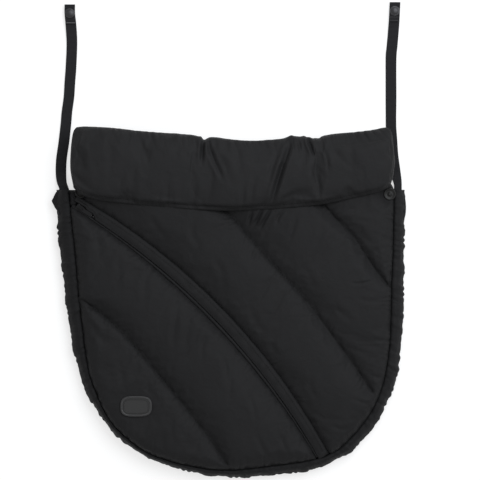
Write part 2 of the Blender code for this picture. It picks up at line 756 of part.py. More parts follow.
def build_flap(pivot):
    """The opening front: shell, wadding and lining, with the left stud in its corner."""
    outline = flap_outline()
    lines = [rim_line(outline, flap_rim_lofts(outline)), quilt_line(QUILT_LONG_SHARES),
             quilt_line(QUILT_SHORT_SHARES)]
    place = plan(STUD_LEFT_SHARE)
    pad = Pad(outline, lines, PANEL_BASE, FULL_LOFT, studs=[plan(STUD_LEFT_SHARE), plan(STUD_RIGHT_SHARE)])
    shell = pad.shell("front_panel_flap", "shell_nylon", pivot)
    fill = pad.wadding("wadding_flap", pivot)
    sheet = lining("lining_flap", flap_outline(LINING_FOOT_STATIONS), pivot=pivot)
    for piece in (shell, fill, sheet):
        bore(piece, place, HOLLOW_HEIGHT, PANEL_CROWN)


def band_frames():
    """Seam point, outward direction and visible width at each station of the side band."""
    for seam, rim in zip(SEAM, SILHOUETTE):
        reach = np.linalg.norm(rim - seam)
        yield seam, (rim - seam) / reach, reach


def build_side_band():
    """The padded side: from the front seam round the edge and in under the back."""
    rings = []
    for seam, out, width in band_frames():
        section = [(GAP / 2, SEAM_TOP)]
        for turn in (30, 60, 90):
            c, s = math.cos(math.radians(turn)), math.sin(math.radians(turn))
            section.append((width * s, BAND_MIDDLE_HEIGHT + (SEAM_TOP - BAND_MIDDLE_HEIGHT) * c))
        for turn in (45, 90):
            c, s = math.cos(math.radians(turn)), math.sin(math.radians(turn))
            section.append((width - BAND_UNDER_RADIUS * (1 - c), BAND_MIDDLE_HEIGHT * (1 - s)))
        section.append((width - BACK_WIDTH, 0))
        section.append((width - BACK_WIDTH, BAND_BACK_THICKNESS))
        section.append((width - BAND_UNDER_RADIUS, BAND_BACK_THICKNESS))
        section.append((width - BAND_THICKNESS, BAND_MIDDLE_HEIGHT))
        low = SEAM_TOP - BAND_SEAM_DEPTH
        section.append(((width - BAND_THICKNESS) * BAND_CORNER_SHARE, (BAND_MIDDLE_HEIGHT + low) / 2))
        section.append((GAP / 2, low))
        rings.append([(*(seam + out * u), z) for u, z in section])
    bm = bmesh.new()
    sweep(bm, rings)
    add_object("side_band", bm, "band_nylon")


def build_hem():
    """The elastic casing along the back opening, and the elastic inside it."""
    half = CASING_HEIGHT / 2
    room = ELASTIC_THICKNESS / 2 + TUNNEL_CLEARANCE
    reach = ELASTIC_WIDTH / 2 + TUNNEL_CLEARANCE
    outer, inner, strip = [], [], []
    for seam, out, width in band_frames():
        middle = width - BACK_WIDTH - GAP - CASING_WIDTH / 2
        edge = CASING_WIDTH / 2
        lip, brow = CASING_LIP_SHARES
        shape = [(edge, 0), (edge, CASING_HEIGHT * CASING_FACE_SHARE), (0, CASING_HEIGHT),
                 (-edge * lip, CASING_HEIGHT * brow), (-edge, half), (-edge * lip, 0)]
        tunnel = [(reach, half - room), (reach, half + room), (0, half + room),
                  (-reach, half + room), (-reach, half), (-reach, half - room)]
        band = [(ELASTIC_WIDTH / 2, half - ELASTIC_THICKNESS / 2), (ELASTIC_WIDTH / 2, half + ELASTIC_THICKNESS / 2),
                (-ELASTIC_WIDTH / 2, half + ELASTIC_THICKNESS / 2), (-ELASTIC_WIDTH / 2, half - ELASTIC_THICKNESS / 2)]
        for rings, section in ((outer, shape), (inner, tunnel), (strip, band)):
            rings.append([(*(seam + out * (middle + u)), z) for u, z in section])
    bm = bmesh.new()
    sweep_tunnel(bm, outer, inner)
    add_object("hem_casing", bm, "band_nylon")
    bm = bmesh.new()
    sweep(bm, strip)
    add_object("hem_elastic", bm, "elastic_white")


def strip_along_zip(name, finish, near, far, low, high, start, end, pivot=None, steps=ZIP_STATIONS):
    """A strip along the zip's arc: near and far give its two edges as offsets at a travel."""
    rings = []
    for travel in np.linspace(start, end, steps):
        a, b = ZIP.point(travel, near(travel)), ZIP.point(travel, far(travel))
        rings.append([(*a, low), (*b, low), (*b, high), (*a, high)])
    bm = bmesh.new()
    sweep(bm, rings)
    return add_object(name, bm, finish, pivot)


def build_zip_half(side, pivot=None):
    """Tape, coil and top stop of one half: side is -1 on the lower panel, +1 on the flap."""
    name = "lower" if side < 0 else "flap"
    head = STOP_INSET if side < 0 else SLIDER_PLACE - SLIDER_LENGTH / 2 + POST_LENGTH + STOP_LENGTH / 2
    foot = ZIP.length - ZIP_FOOT

    def inner(travel):
        return -COIL_OFFSET + side * GAP

    def outer(travel):
        return side * (ZIP.half_width(travel) - GAP)

    tape_start = TAPE_HEAD if side < 0 else head - GAP
    strip_along_zip("zip_tape_" + name, "zip_tape", inner, outer, TAPE_BASE, TAPE_BASE + TAPE_THICKNESS,
                    tape_start, foot, pivot)

    def coil_inner(travel):
        return -COIL_OFFSET + side * COIL_GAP

    def coil_outer(travel):
        return -COIL_OFFSET + side * (COIL_GAP + COIL_WIDTH)

    coil_head = head + STOP_LENGTH + GAP
    strip_along_zip("zip_coil_" + name, "zip_coil", coil_inner, coil_outer, COIL_BASE, COIL_BASE + COIL_HEIGHT,
                    coil_head, foot - GAP, pivot)
    strip_along_zip("zip_top_stop_" + name, "zip_metal", coil_inner, coil_outer, COIL_BASE,
                    COIL_BASE + COIL_HEIGHT, head, head + STOP_LENGTH, pivot, 2)


def build_zip_ends(pivot):
    """The bottom stop across both coils, and the guard that covers them from the flap's side."""
    start = ZIP.length - ZIP_FOOT + GAP
    strip_along_zip("zip_bottom_stop", "zip_metal", lambda s: -COIL_OFFSET - COIL_WIDTH,
                    lambda s: -COIL_OFFSET + COIL_WIDTH, TAPE_BASE, COIL_BASE + COIL_HEIGHT,
                    start, start + BOTTOM_STOP_LENGTH, None, 2)
    strip_along_zip("zip_guard", "shell_nylon", lambda s: -GUARD_EDGE,
                    lambda s: ZIP.half_width(s) - GAP, GUARD_BASE, GUARD_BASE + GUARD_THICKNESS,
                    GUARD_HEAD, ZIP.length - ZIP_FOOT, pivot)


def zip_frame(travel, offset, height):
    """A frame on the zip: X along the travel, Y across towards the flap, Z up."""
    place = ZIP.point(travel, offset)
    turn = ZIP.angle(travel)
    across = Vector((math.cos(turn), math.sin(turn), 0))
    along = Vector((math.sin(turn), -math.cos(turn), 0))
    rotation = Matrix((along, across, Vector((0, 0, 1)))).transposed().to_4x4()
    return Matrix.Translation(Vector((*place, height))) @ rotation


def slider_plate(bm, low, high):
    """One plate of the slider, wider at its head."""
    half = SLIDER_LENGTH / 2
    head, foot = SLIDER_HEAD_WIDTH / 2, SLIDER_FOOT_WIDTH / 2
    nose = BRIDGE_WALL
    outline = [(-half + nose, -head), (half - nose, -foot), (half, -foot + nose), (half, foot - nose),
               (half - nose, foot), (-half + nose, head), (-half, head - nose), (-half, -head + nose)]
    prism(bm, outline, low, high)


def box(bm, low, high):
    """Add an upright block between two corners."""
    outline = [(low[0], low[1]), (high[0], low[1]), (high[0], high[1]), (low[0], high[1])]
    prism(bm, outline, low[2], high[2])


def build_slider(pivot):
    """The slider: two plates joined by the post that parts the coils, and the bridge for the pull."""
    frame = zip_frame(SLIDER_PLACE, -COIL_OFFSET, PLATE_BASE)
    under = TAPE_BASE - SLIDER_CLEARANCE - PLATE_BASE
    post_start = -SLIDER_LENGTH / 2 + GAP
    half = BRIDGE_LENGTH / 2
    pieces = []
    for number in range(4):
        bm = bmesh.new()
        if number == 0:
            slider_plate(bm, 0, SLIDER_PLATE)
        elif number == 1:
            slider_plate(bm, under - SLIDER_PLATE, under)
        elif number == 2:
            box(bm, (post_start, GAP, under - SLIDER_PLATE / 2),
                (post_start + POST_LENGTH - GAP, GAP + POST_WIDTH, SLIDER_PLATE / 2))
        else:
            arch = [(-half, SLIDER_PLATE / 2), (-half, BRIDGE_HEIGHT + SLIDER_PLATE),
                    (half, BRIDGE_HEIGHT + SLIDER_PLATE), (half, SLIDER_PLATE / 2),
                    (half - BRIDGE_WALL, SLIDER_PLATE / 2),
                    (half - BRIDGE_WALL, BRIDGE_HEIGHT + SLIDER_PLATE - BRIDGE_WALL),
                    (-half + BRIDGE_WALL, BRIDGE_HEIGHT + SLIDER_PLATE - BRIDGE_WALL),
                    (-half + BRIDGE_WALL, SLIDER_PLATE / 2)]
            rings = [[(u, side * BRIDGE_WIDTH / 2, z) for u, z in arch] for side in (-1, 1)]
            sweep(bm, rings)
        bmesh.ops.transform(bm, matrix=frame, verts=bm.verts)
        pieces.append(bm)
    body = add_object("zip_slider", pieces[0], "zip_metal", pivot, smooth=False)
    for number, bm in enumerate(pieces[1:]):
        part = add_object("slider_part_%d" % number, bm, "zip_metal", pivot, smooth=False)
        part.hide_render = True
        part.display_type = "WIRE"
        join = body.modifiers.new("join_%d" % number, "BOOLEAN")
        join.operation = "UNION"
        join.object = part


def pull_height():
    """Height of the pull's turning line above the slider's plate."""
    return PLATE_BASE + SLIDER_PLATE + GAP + PULL_THICKNESS / 2


def build_pull(pivot):
    """The pull: a flat tongue with a window that the slider's bridge stands in."""
    frame = zip_frame(SLIDER_PLACE, -COIL_OFFSET, pull_height())
    bar = PULL_THICKNESS / 2
    half, window = PULL_WIDTH / 2, PULL_WINDOW_WIDTH / 2
    tip = PULL_WIDTH / 4
    outer = [(-bar, -half), (PULL_LENGTH - tip, -half), (PULL_LENGTH, -half + tip),
             (PULL_LENGTH, half - tip), (PULL_LENGTH - tip, half), (-bar, half)]
    inner = [(bar, -window), (bar + PULL_WINDOW, -window), (bar + PULL_WINDOW, -window / 2),
             (bar + PULL_WINDOW, window / 2), (bar + PULL_WINDOW, window), (bar, window)]
    bm = bmesh.new()
    rings = {}
    for level in (-1, 1):
        z = level * PULL_THICKNESS / 2
        rings[level] = ([bm.verts.new((u, v, z)) for u, v in outer], [bm.verts.new((u, v, z)) for u, v in inner])
    size = len(outer)
    for i in range(size):
        j = (i + 1) % size
        for level in (-1, 1):
            rim, hole = rings[level]
            bm.faces.new((rim[i], rim[j], hole[j], hole[i]))
        for k in (0, 1):
            bm.faces.new((rings[-1][k][i], rings[-1][k][j], rings[1][k][j], rings[1][k][i]))
    bmesh.ops.transform(bm, matrix=frame, verts=bm.verts)
    add_object("zip_pull", bm, "zip_metal", pivot, smooth=False)


def cuff_place(share):
    """Plan position of a point given in the cuff's shares."""
    return np.array([CUFF_SHIFT + share[0] * CUFF_WIDTH / 2,
                     BODY_LENGTH + FOLD_RISE + share[1] * CUFF_DEPTH])


def build_cuff(pivot):
    """The folded-down cuff: its facing, its wadding and the backing against the front."""
    top = smooth_curve([cuff_place(p) for p in CUFF_TOP_SHARES], 20)
    rest = smooth_curve([cuff_place(p) for p in CUFF_BOTTOM_SHARES], 32)
    outline = counter_clockwise(np.vstack([top, rest]))
    over_fold = distance_to_line(outline, top)[0] < SHELL_THICKNESS / 4
    lofts = np.where(over_fold, CUFF_FOLD_LOFT, CUFF_EDGE_LOFT)
    base = CUFF_BASE + CUFF_BACKING + GAP
    pad = Pad(outline, [rim_line(outline, lofts)], base, CUFF_LOFT, run=LOFT_RUN, spacing=CUFF_SPACING)
    pad.shell("cuff", "shell_nylon", pivot)
    pad.wadding("wadding_cuff", pivot)
    bm = bmesh.new()
    prism(bm, inset(outline, GAP), CUFF_BASE, CUFF_BASE + CUFF_BACKING)
    add_object("cuff_backing", bm, "shell_nylon", pivot, smooth=False)


class Strap:
    """One webbing strap lying on the floor, with its root tucked into the band's corner."""

    def __init__(self, side):
        self.side = side
        self.length = STRAP_LEFT_LENGTH if side == "left" else STRAP_RIGHT_LENGTH
        free_end = STRAP_LEFT_FREE_END if side == "left" else STRAP_RIGHT_FREE_END
        shares = STRAP_LEFT_SHARES if side == "left" else STRAP_RIGHT_SHARES
        root = STRAP_LEFT_ROOT_SHARE if side == "left" else STRAP_RIGHT_ROOT_SHARE
        self.root = np.array([root * BODY_WIDTH / 2, BODY_LENGTH])
        self.curve = np.array([(a, b) for a, b in shares])
        self.middle_start = self.length - free_end
        self.end_start = self.middle_start + STRAP_MIDDLE_LENGTH
        self.snap_travel = self.length - SNAP_INSET

    def centre(self, travel):
        """Plan position of the strap's middle line at a height above its root."""
        sideways = np.interp(travel / self.length, self.curve[:, 0], self.curve[:, 1]) * self.length
        return self.root + np.array([sideways, travel])

    def bends(self):
        """Travels at which the webbing starts or ends a slope."""
        snap_run = self.length - END_FOLD_LENGTH
        return [0.0, STRAP_RAMP, snap_run - END_REST, snap_run]

    def floor(self, travel):
        """Height of the webbing's under side: up in the band's corner at the root, on its cap at the end."""
        raised = CAP_THICKNESS + GAP
        return np.interp(travel, self.bends(), [STRAP_ROOT_HEIGHT, GAP, GAP, raised])

    def axis(self):
        """Direction of the two folding lines: square across the webbing."""
        along = self.centre(self.snap_travel) - self.centre(self.middle_start)
        along /= np.linalg.norm(along)
        return (along[1], -along[0], 0)

    def pivot_place(self, travel):
        """A folding line's place: on the upper face of the webbing."""
        x, y = self.centre(travel)
        return (x, y, GAP + WEBBING_THICKNESS + GAP)

    def stations(self, start, end):
        """Travels at which the webbing is drawn: even steps, with every bend of its run among them."""
        even = np.linspace(start, end, STRAP_STATIONS)
        bends = [bend for bend in self.bends() if start < bend < end]
        for bend in bends:
            even = even[(np.abs(even - bend) > WEBBING_THICKNESS) | (even == start) | (even == end)]
        return np.sort(np.append(even, bends))

    def run(self, bm, start, end, lift=0.0, trim=0.0):
        """Add the webbing between two travels."""
        half = WEBBING_WIDTH / 2 - trim
        rings = []
        for travel in self.stations(start, end):
            x, y = self.centre(travel)
            low = self.floor(travel) + lift
            high = low + WEBBING_THICKNESS
            rings.append([(x - half, y, low), (x + half, y, low), (x + half, y, high), (x - half, y, high)])
        sweep(bm, rings)

    def webbing(self, name, start, end, pivot=None, bored=False, **options):
        """One stretch of webbing as an object, with the snap's hole if it is bored."""
        bm = bmesh.new()
        self.run(bm, start, end, **options)
        made = add_object("strap_%s_%s" % (self.side, name), bm, "webbing", pivot, smooth=False)
        if bored:
            bore(made, self.centre(self.snap_travel), 0, CAP_THICKNESS + 3 * WEBBING_THICKNESS)
        return made

    def build(self):
        """All the strap's pieces, with an empty on each of its two folding lines."""
        lift = add_pivot("strap_%s_lift_axis" % self.side, self.pivot_place(self.middle_start), self.axis())
        loop = add_pivot("strap_%s_loop_axis" % self.side, self.pivot_place(self.end_start), self.axis(), lift)
        self.webbing("lower", -STRAP_TUCK, self.middle_start - GAP / 2)
        self.webbing("middle", self.middle_start + GAP / 2, self.end_start - GAP / 2, lift)
        self.webbing("end", self.end_start + GAP / 2, self.length, loop, bored=True)
        self.webbing("end_fold", self.length - END_FOLD_LENGTH, self.length, loop, bored=True,
                     lift=WEBBING_THICKNESS + GAP, trim=WEBBING_THICKNESS / 2)
        self.snap(loop)

    def snap(self, pivot):
        """The socket on the strap's face and the cap on its back."""
        centre = self.centre(self.snap_travel)
        radius, shank = SNAP_DIAMETER / 2, SHANK_DIAMETER / 2
        webbing_top = CAP_THICKNESS + GAP + 2 * WEBBING_THICKNESS + 2 * GAP
        cap = [(0, 0), (radius - CAP_EDGE, 0), (radius, CAP_EDGE), (radius, CAP_THICKNESS),
               (shank, CAP_THICKNESS), (shank, webbing_top - GAP), (0, webbing_top - GAP)]
        bm = bmesh.new()
        turned(bm, cap, (*centre, 0))
        add_object("snap_cap_" + self.side, bm, "snap_metal", pivot)
        bore_radius = SOCKET_BORE / 2
        top = SOCKET_THICKNESS
        socket = [(0, 0), (radius, 0), (radius, top - CAP_EDGE), (radius - CAP_EDGE, top),
                  (bore_radius, top), (bore_radius, top - SOCKET_DEPTH), (0, top - SOCKET_DEPTH)]
        bm = bmesh.new()
        turned(bm, socket, (*centre, webbing_top))
        add_object("snap_socket_" + self.side, bm, "snap_metal", pivot)


def build_stud(side, pivot=None):
    """A stud on the body's corner: flange, ball post, shank and the rivet behind the lining."""
    place = plan(STUD_LEFT_SHARE if side == "left" else STUD_RIGHT_SHARE)
    radius, post, shank = STUD_DIAMETER / 2, STUD_POST_DIAMETER / 2, SHANK_DIAMETER / 2
    depth = HOLLOW_HEIGHT - STUD_BASE - GAP
    profile = [(0, depth), (shank, depth), (shank, 0), (radius - STUD_DISH, 0), (radius, STUD_DISH),
               (radius, STUD_FLANGE), (radius - 2 * STUD_DISH, STUD_FLANGE),
               (radius - 3 * STUD_DISH, STUD_FLANGE - STUD_DISH), (post, STUD_FLANGE - STUD_DISH),
               (post, STUD_FLANGE + STUD_POST_HEIGHT / 2), (post - STUD_DISH, STUD_FLANGE + STUD_POST_HEIGHT),
               (0, STUD_FLANGE + STUD_POST_HEIGHT)]
    bm = bmesh.new()
    turned(bm, profile, (*place, STUD_BASE))
    add_object("stud_" + side, bm, "snap_metal", pivot)
    rivet = RIVET_DIAMETER / 2
    base = HOLLOW_HEIGHT - 2 * GAP - RIVET_THICKNESS
    profile = [(0, 0), (rivet - CAP_EDGE, 0), (rivet, CAP_EDGE), (rivet, RIVET_THICKNESS), (0, RIVET_THICKNESS)]
    bm = bmesh.new()
    turned(bm, profile, (*place, base))
    add_object("stud_rivet_" + side, bm, "snap_metal", pivot)


def build_anchor(side):
    """The folded end of the band that stands out where the strap is sewn in."""
    shares = ANCHOR_LEFT_SHARES if side == "left" else ANCHOR_RIGHT_SHARES
    outer = np.array([plan(p) for p in shares])
    near = distance_to_line(outer, SILHOUETTE)[1]
    start, end = min(near), max(near)
    along = np.linspace(start, end, len(outer))
    base = np.array([[np.interp(k, np.arange(len(SILHOUETTE)), SILHOUETTE[:, c]) for c in (0, 1)] for k in along])
    if abs(outer[0, 1] - base[0, 1]) > abs(outer[0, 1] - base[-1, 1]):
        base = base[::-1]
    out = -1 if side == "left" else 1
    base[:, 0] += out * GAP
    reach = np.maximum(np.abs(outer[:, 0] - base[:, 0]), GAP)
    rings = []
    middle = BAND_MIDDLE_HEIGHT
    for (x, y), depth in zip(base, reach):
        half = ANCHOR_THICKNESS / 2
        rings.append([(x, y, middle - half), (x + out * (depth - GAP / 2), y, middle - half / 2),
                      (x + out * depth, y, middle), (x + out * (depth - GAP / 2), y, middle + half / 2),
                      (x, y, middle + half)])
    bm = bmesh.new()
    sweep(bm, rings)
    add_object("strap_anchor_" + side, bm, "band_nylon")


def build_patch():
    """The bare badge on the lower panel, with a raised rim."""
    base = PANEL_CROWN + GAP
    bm = bmesh.new()
    prism(bm, patch_outline(), base, base + PATCH_THICKNESS)
    top = max(bm.faces, key=lambda f: f.calc_center_median().z if len(f.verts) > 4 else -1)
    bmesh.ops.inset_individual(bm, faces=[top], thickness=PATCH_RIM, depth=-PATCH_RECESS)
    add_object("badge_patch", bm, "patch_rubber", smooth=False)


def centre_part():
    """Move the whole part so that its own middle stands on the origin."""
    low = np.full(3, np.inf)
    high = np.full(3, -np.inf)
    graph = bpy.context.evaluated_depsgraph_get()
    for piece in bpy.data.objects:
        if piece.type == "MESH" and not piece.hide_render:
            mesh = piece.evaluated_get(graph).to_mesh()
            places = np.array([piece.matrix_world @ v.co for v in mesh.vertices])
            low, high = np.minimum(low, places.min(axis=0)), np.maximum(high, places.max(axis=0))
    shift = Vector((-(low[0] + high[0]) / 2, -(low[1] + high[1]) / 2, -low[2]))
    for piece in bpy.data.objects:
        if piece.parent is None:
            piece.location += shift
    bpy.context.view_layer.update()
    print("size", [round(v, 5) for v in high - low], "shift", [round(v, 6) for v in shift])


def print_axes():
    """Print each joint's place and axis, and the angles and widths that go with them."""
    for piece in bpy.data.objects:
        if piece.type == "EMPTY":
            place = [round(v, 6) for v in piece.matrix_world.translation]
            axis = [round(v, 6) for v in piece.matrix_world.to_3x3() @ Vector((0, 0, 1))]
            print("axis", piece.name, place, axis)
    travel = ZIP.length - ZIP_FOOT - SLIDER_END_CLEARANCE - SLIDER_PLACE
    print("slider travel", round(travel, 5), "degrees", round(math.degrees(travel / ZIP.radius), 4))


def main():
    """Build every piece, from the floor up."""
    collection_reset()
    foot, head = plan(FLAP_FOOT_SHARE), plan(FLAP_HEAD_SHARE)
    lean = Vector((*(head - foot), 0)).normalized()
    flap = add_pivot("flap_axis", (*foot, FLAP_AXIS_HEIGHT), lean)
    cuff = add_pivot("cuff_axis", (CUFF_SHIFT, BODY_LENGTH + FOLD_RISE, CUFF_BASE - GAP / 2), (-1, 0, 0), flap)
    slider = add_pivot("slider_axis", (*ZIP.centre, PLATE_BASE), (0, 0, -1))
    frame = zip_frame(SLIDER_PLACE, -COIL_OFFSET, pull_height())
    pull = add_pivot("pull_axis", frame.translation, -frame.col[1].to_3d(), slider)
    build_side_band()
    build_hem()
    build_lower_panel()
    build_side_panel()
    build_flap(flap)
    build_zip_half(-1)
    build_zip_half(+1, flap)
    build_zip_ends(flap)
    build_slider(slider)
    build_pull(pull)
    build_cuff(cuff)
    build_stud("left", flap)
    build_stud("right")
    build_patch()
    for side in ("left", "right"):
        build_anchor(side)
        Strap(side).build()
    centre_part()
    print_axes()


main()
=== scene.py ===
"""Looks of a padded car seat footmuff, laid flat with its front up.

Black woven nylon over loose wadding: a quilted front in two halves either side of a diagonal zip, a top
that rolls down as a cuff, a gathered band drawn in by an elastic hem, and two webbing straps with snaps.
"""
import logging
import math
from dataclasses import dataclass, field
from enum import Enum
from typing import Any, Callable, Sequence

import bmesh
import bpy
import numpy as np
from mathutils import Matrix, Vector
from mathutils.bvhtree import BVHTree
from mathutils.geometry import delaunay_2d_cdt
from mathutils.kdtree import KDTree


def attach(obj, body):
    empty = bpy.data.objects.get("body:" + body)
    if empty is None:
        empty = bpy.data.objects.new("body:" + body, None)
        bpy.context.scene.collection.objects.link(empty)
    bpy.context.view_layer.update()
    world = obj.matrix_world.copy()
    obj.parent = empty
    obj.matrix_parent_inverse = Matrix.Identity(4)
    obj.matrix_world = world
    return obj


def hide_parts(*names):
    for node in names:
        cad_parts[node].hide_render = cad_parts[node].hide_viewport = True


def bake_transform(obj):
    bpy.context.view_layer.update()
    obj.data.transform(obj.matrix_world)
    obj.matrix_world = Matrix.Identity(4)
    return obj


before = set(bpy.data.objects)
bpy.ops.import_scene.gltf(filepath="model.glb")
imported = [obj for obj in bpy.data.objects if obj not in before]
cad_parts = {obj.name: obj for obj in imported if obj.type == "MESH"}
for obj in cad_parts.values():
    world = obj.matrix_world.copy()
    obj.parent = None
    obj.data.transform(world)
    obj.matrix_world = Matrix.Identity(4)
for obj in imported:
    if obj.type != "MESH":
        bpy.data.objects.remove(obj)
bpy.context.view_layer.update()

LOG = logging.getLogger("footmuff")

Array = np.ndarray
Piece = bpy.types.Object
Points = Sequence[Sequence[float]]
Tree = bpy.types.NodeTree
Socket = bpy.types.NodeSocket

MM = 0.001
# Metres that stitches stand above the cloth, and the height from which points are dropped onto it.
THREAD_LIFT = np.array([0, 0, 0.0001])
DROP_HEIGHT = 0.2
# Metres between the marks that near_line searches, and how sharply an outline may bend where it is inset.
MARK_PITCH = 0.001
SHARPEST_BEND = 0.4
# Radians that the bands of a Wave texture turn in a unit.
WAVE_RADIANS = 20
# Frames of each cloth simulation, and how its cloth behaves.
SIMULATION_FRAMES = 20
CLOTH = {"quality": 4, "mass": 0.15, "tension_stiffness": 12, "compression_stiffness": 12,
         "shear_stiffness": 4, "bending_stiffness": 0.3}


class Body(Enum):
    """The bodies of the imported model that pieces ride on."""

    MUFF = "muff"
    FLAP = "flap"
    CUFF = "cuff"
    LEFT_MIDDLE = "strap_left_middle"
    LEFT_END = "strap_left_end"
    RIGHT_MIDDLE = "strap_right_middle"
    RIGHT_END = "strap_right_end"


class Side(Enum):
    """Which side of the footmuff a strap or a stud is on."""

    LEFT = "left"
    RIGHT = "right"


# Plan geometry


def smooth_curve(points: Points, count: int) -> Array:
    """Resample a smooth curve through points, evenly by length.

    Args:
        points: The points that the curve passes through.
        count: How many points to return.

    Returns:
        The points on the curve, one row each.
    """
    rows = [np.asarray(p, float) for p in points]
    padded = [2 * rows[0] - rows[1]] + rows + [2 * rows[-1] - rows[-2]]
    dense = []
    for i in range(1, len(padded) - 2):
        a, b, c, d = padded[i - 1:i + 3]
        for t in np.linspace(0, 1, 16, endpoint=False):
            dense.append(0.5 * (2 * b + (c - a) * t + (2 * a - 5 * b + 4 * c - d) * t ** 2
                                + (3 * b - a - 3 * c + d) * t ** 3))
    dense.append(rows[-1])
    return resample(np.array(dense), count)


def lengths(line: Array) -> Array:
    """Length travelled along a polyline at each of its points."""
    steps = np.linalg.norm(np.diff(line, axis=0), axis=1)
    return np.concatenate([[0], np.cumsum(steps)])


def resample(line: Array, count: int) -> Array:
    """Space points evenly along a polyline.

    Args:
        line: The polyline, one point a row.
        count: How many points to return.

    Returns:
        The evenly spaced points.
    """
    travel = lengths(line)
    wanted = np.linspace(0, travel[-1], count)
    return np.stack([np.interp(wanted, travel, line[:, k]) for k in range(line.shape[1])], axis=1)


def closed(line: Array) -> Array:
    """The outline with its first point repeated at the end."""
    return np.vstack([line, line[:1]])


def counter_clockwise(outline: Array) -> Array:
    """The outline, turned to run counter-clockwise."""
    x, y = outline[:, 0], outline[:, 1]
    return outline if (x * np.roll(y, -1) - np.roll(x, -1) * y).sum() > 0 else outline[::-1]


def inset(outline: Array, distance: float) -> Array:
    """Move a counter-clockwise outline inward.

    Args:
        outline: The outline, one point a row.
        distance: How far to move it, in metres.

    Returns:
        The outline moved inward.
    """
    before = outline - np.roll(outline, 1, axis=0)
    after = np.roll(outline, -1, axis=0) - outline
    before /= np.linalg.norm(before, axis=1)[:, None]
    after /= np.linalg.norm(after, axis=1)[:, None]
    left = np.stack([-before[:, 1], before[:, 0]], axis=1)
    right = np.stack([-after[:, 1], after[:, 0]], axis=1)
    bend = np.maximum(1 + (left * right).sum(axis=1), SHARPEST_BEND)
    return outline + (left + right) / bend[:, None] * distance


def near_line(points: Array, line: Array) -> tuple[Array, Array, Array]:
    """Measure points against a polyline in plan.

    Args:
        points: Plan points, one a row.
        line: The polyline, one point a row.

    Returns:
        Distance to the line, length along it of the nearest place, and the side (+1 left, -1 right).
    """
    travel = lengths(line)
    marks = np.linspace(0, travel[-1], max(8, int(travel[-1] / MARK_PITCH)))
    segment = np.clip(np.searchsorted(travel, marks, side="right") - 1, 0, len(line) - 2)
    tree = KDTree(len(marks))
    for i, mark in enumerate(marks):
        tree.insert((np.interp(mark, travel, line[:, 0]), np.interp(mark, travel, line[:, 1]), 0), i)
    tree.balance()
    closest = segment[[tree.find((x, y, 0))[1] for x, y in points.tolist()]]
    best, along, side = np.full(len(points), np.inf), np.zeros(len(points)), np.ones(len(points))
    for step in (-1, 0, 1):
        i = np.clip(closest + step, 0, len(line) - 2)
        start, run = line[i], line[i + 1] - line[i]
        size = np.maximum((run * run).sum(axis=1), 1e-18)
        t = np.clip(((points - start) * run).sum(axis=1) / size, 0, 1)
        off = points - (start + t[:, None] * run)
        gap = np.hypot(off[:, 0], off[:, 1])
        nearer = gap < best
        best = np.where(nearer, gap, best)
        along = np.where(nearer, travel[i] + t * np.sqrt(size), along)
        side = np.where(nearer, np.where(run[:, 0] * off[:, 1] >= run[:, 1] * off[:, 0], 1, -1), side)
    return best, along, side


def inside(points: Array, outline: Array) -> Array:
    """True for the points inside a closed outline.

    Args:
        points: Plan points.
        outline: The closed outline.

    Returns:
        The answer for each point.
    """
    x, y = points[:, 0][:, None], points[:, 1][:, None]
    ax, ay = outline[:, 0], outline[:, 1]
    bx, by = np.roll(ax, -1), np.roll(ay, -1)
    rise = np.where(by == ay, 1, by - ay)
    crosses = ((ay > y) != (by > y)) & (x < ax + (y - ay) / rise * (bx - ax))
    return crosses.sum(axis=1) % 2 == 1


class Ripple:
    """Smooth, repeatable noise over a plane, from -1 to 1, with features one unit wide."""

    SIZE = 64

    def __init__(self, seed: int) -> None:
        """Fill the table of random heights from a seed."""
        self.table = np.random.default_rng(seed).uniform(-1, 1, (self.SIZE, self.SIZE))

    def at(self, u: Array, v: Array) -> Array:
        """Sample the noise.

        Args:
            u: First coordinate, in features.
            v: Second coordinate, in features.

        Returns:
            The noise at each place.
        """
        iu, iv = np.floor(u).astype(int), np.floor(v).astype(int)
        fu, fv = u - iu, v - iv
        fu = fu * fu * (3 - 2 * fu)
        fv = fv * fv * (3 - 2 * fv)
        t, n = self.table, self.SIZE
        low = t[iu % n, iv % n] * (1 - fu) + t[(iu + 1) % n, iv % n] * fu
        high = t[iu % n, (iv + 1) % n] * (1 - fu) + t[(iu + 1) % n, (iv + 1) % n] * fu
        return low * (1 - fv) + high * fv


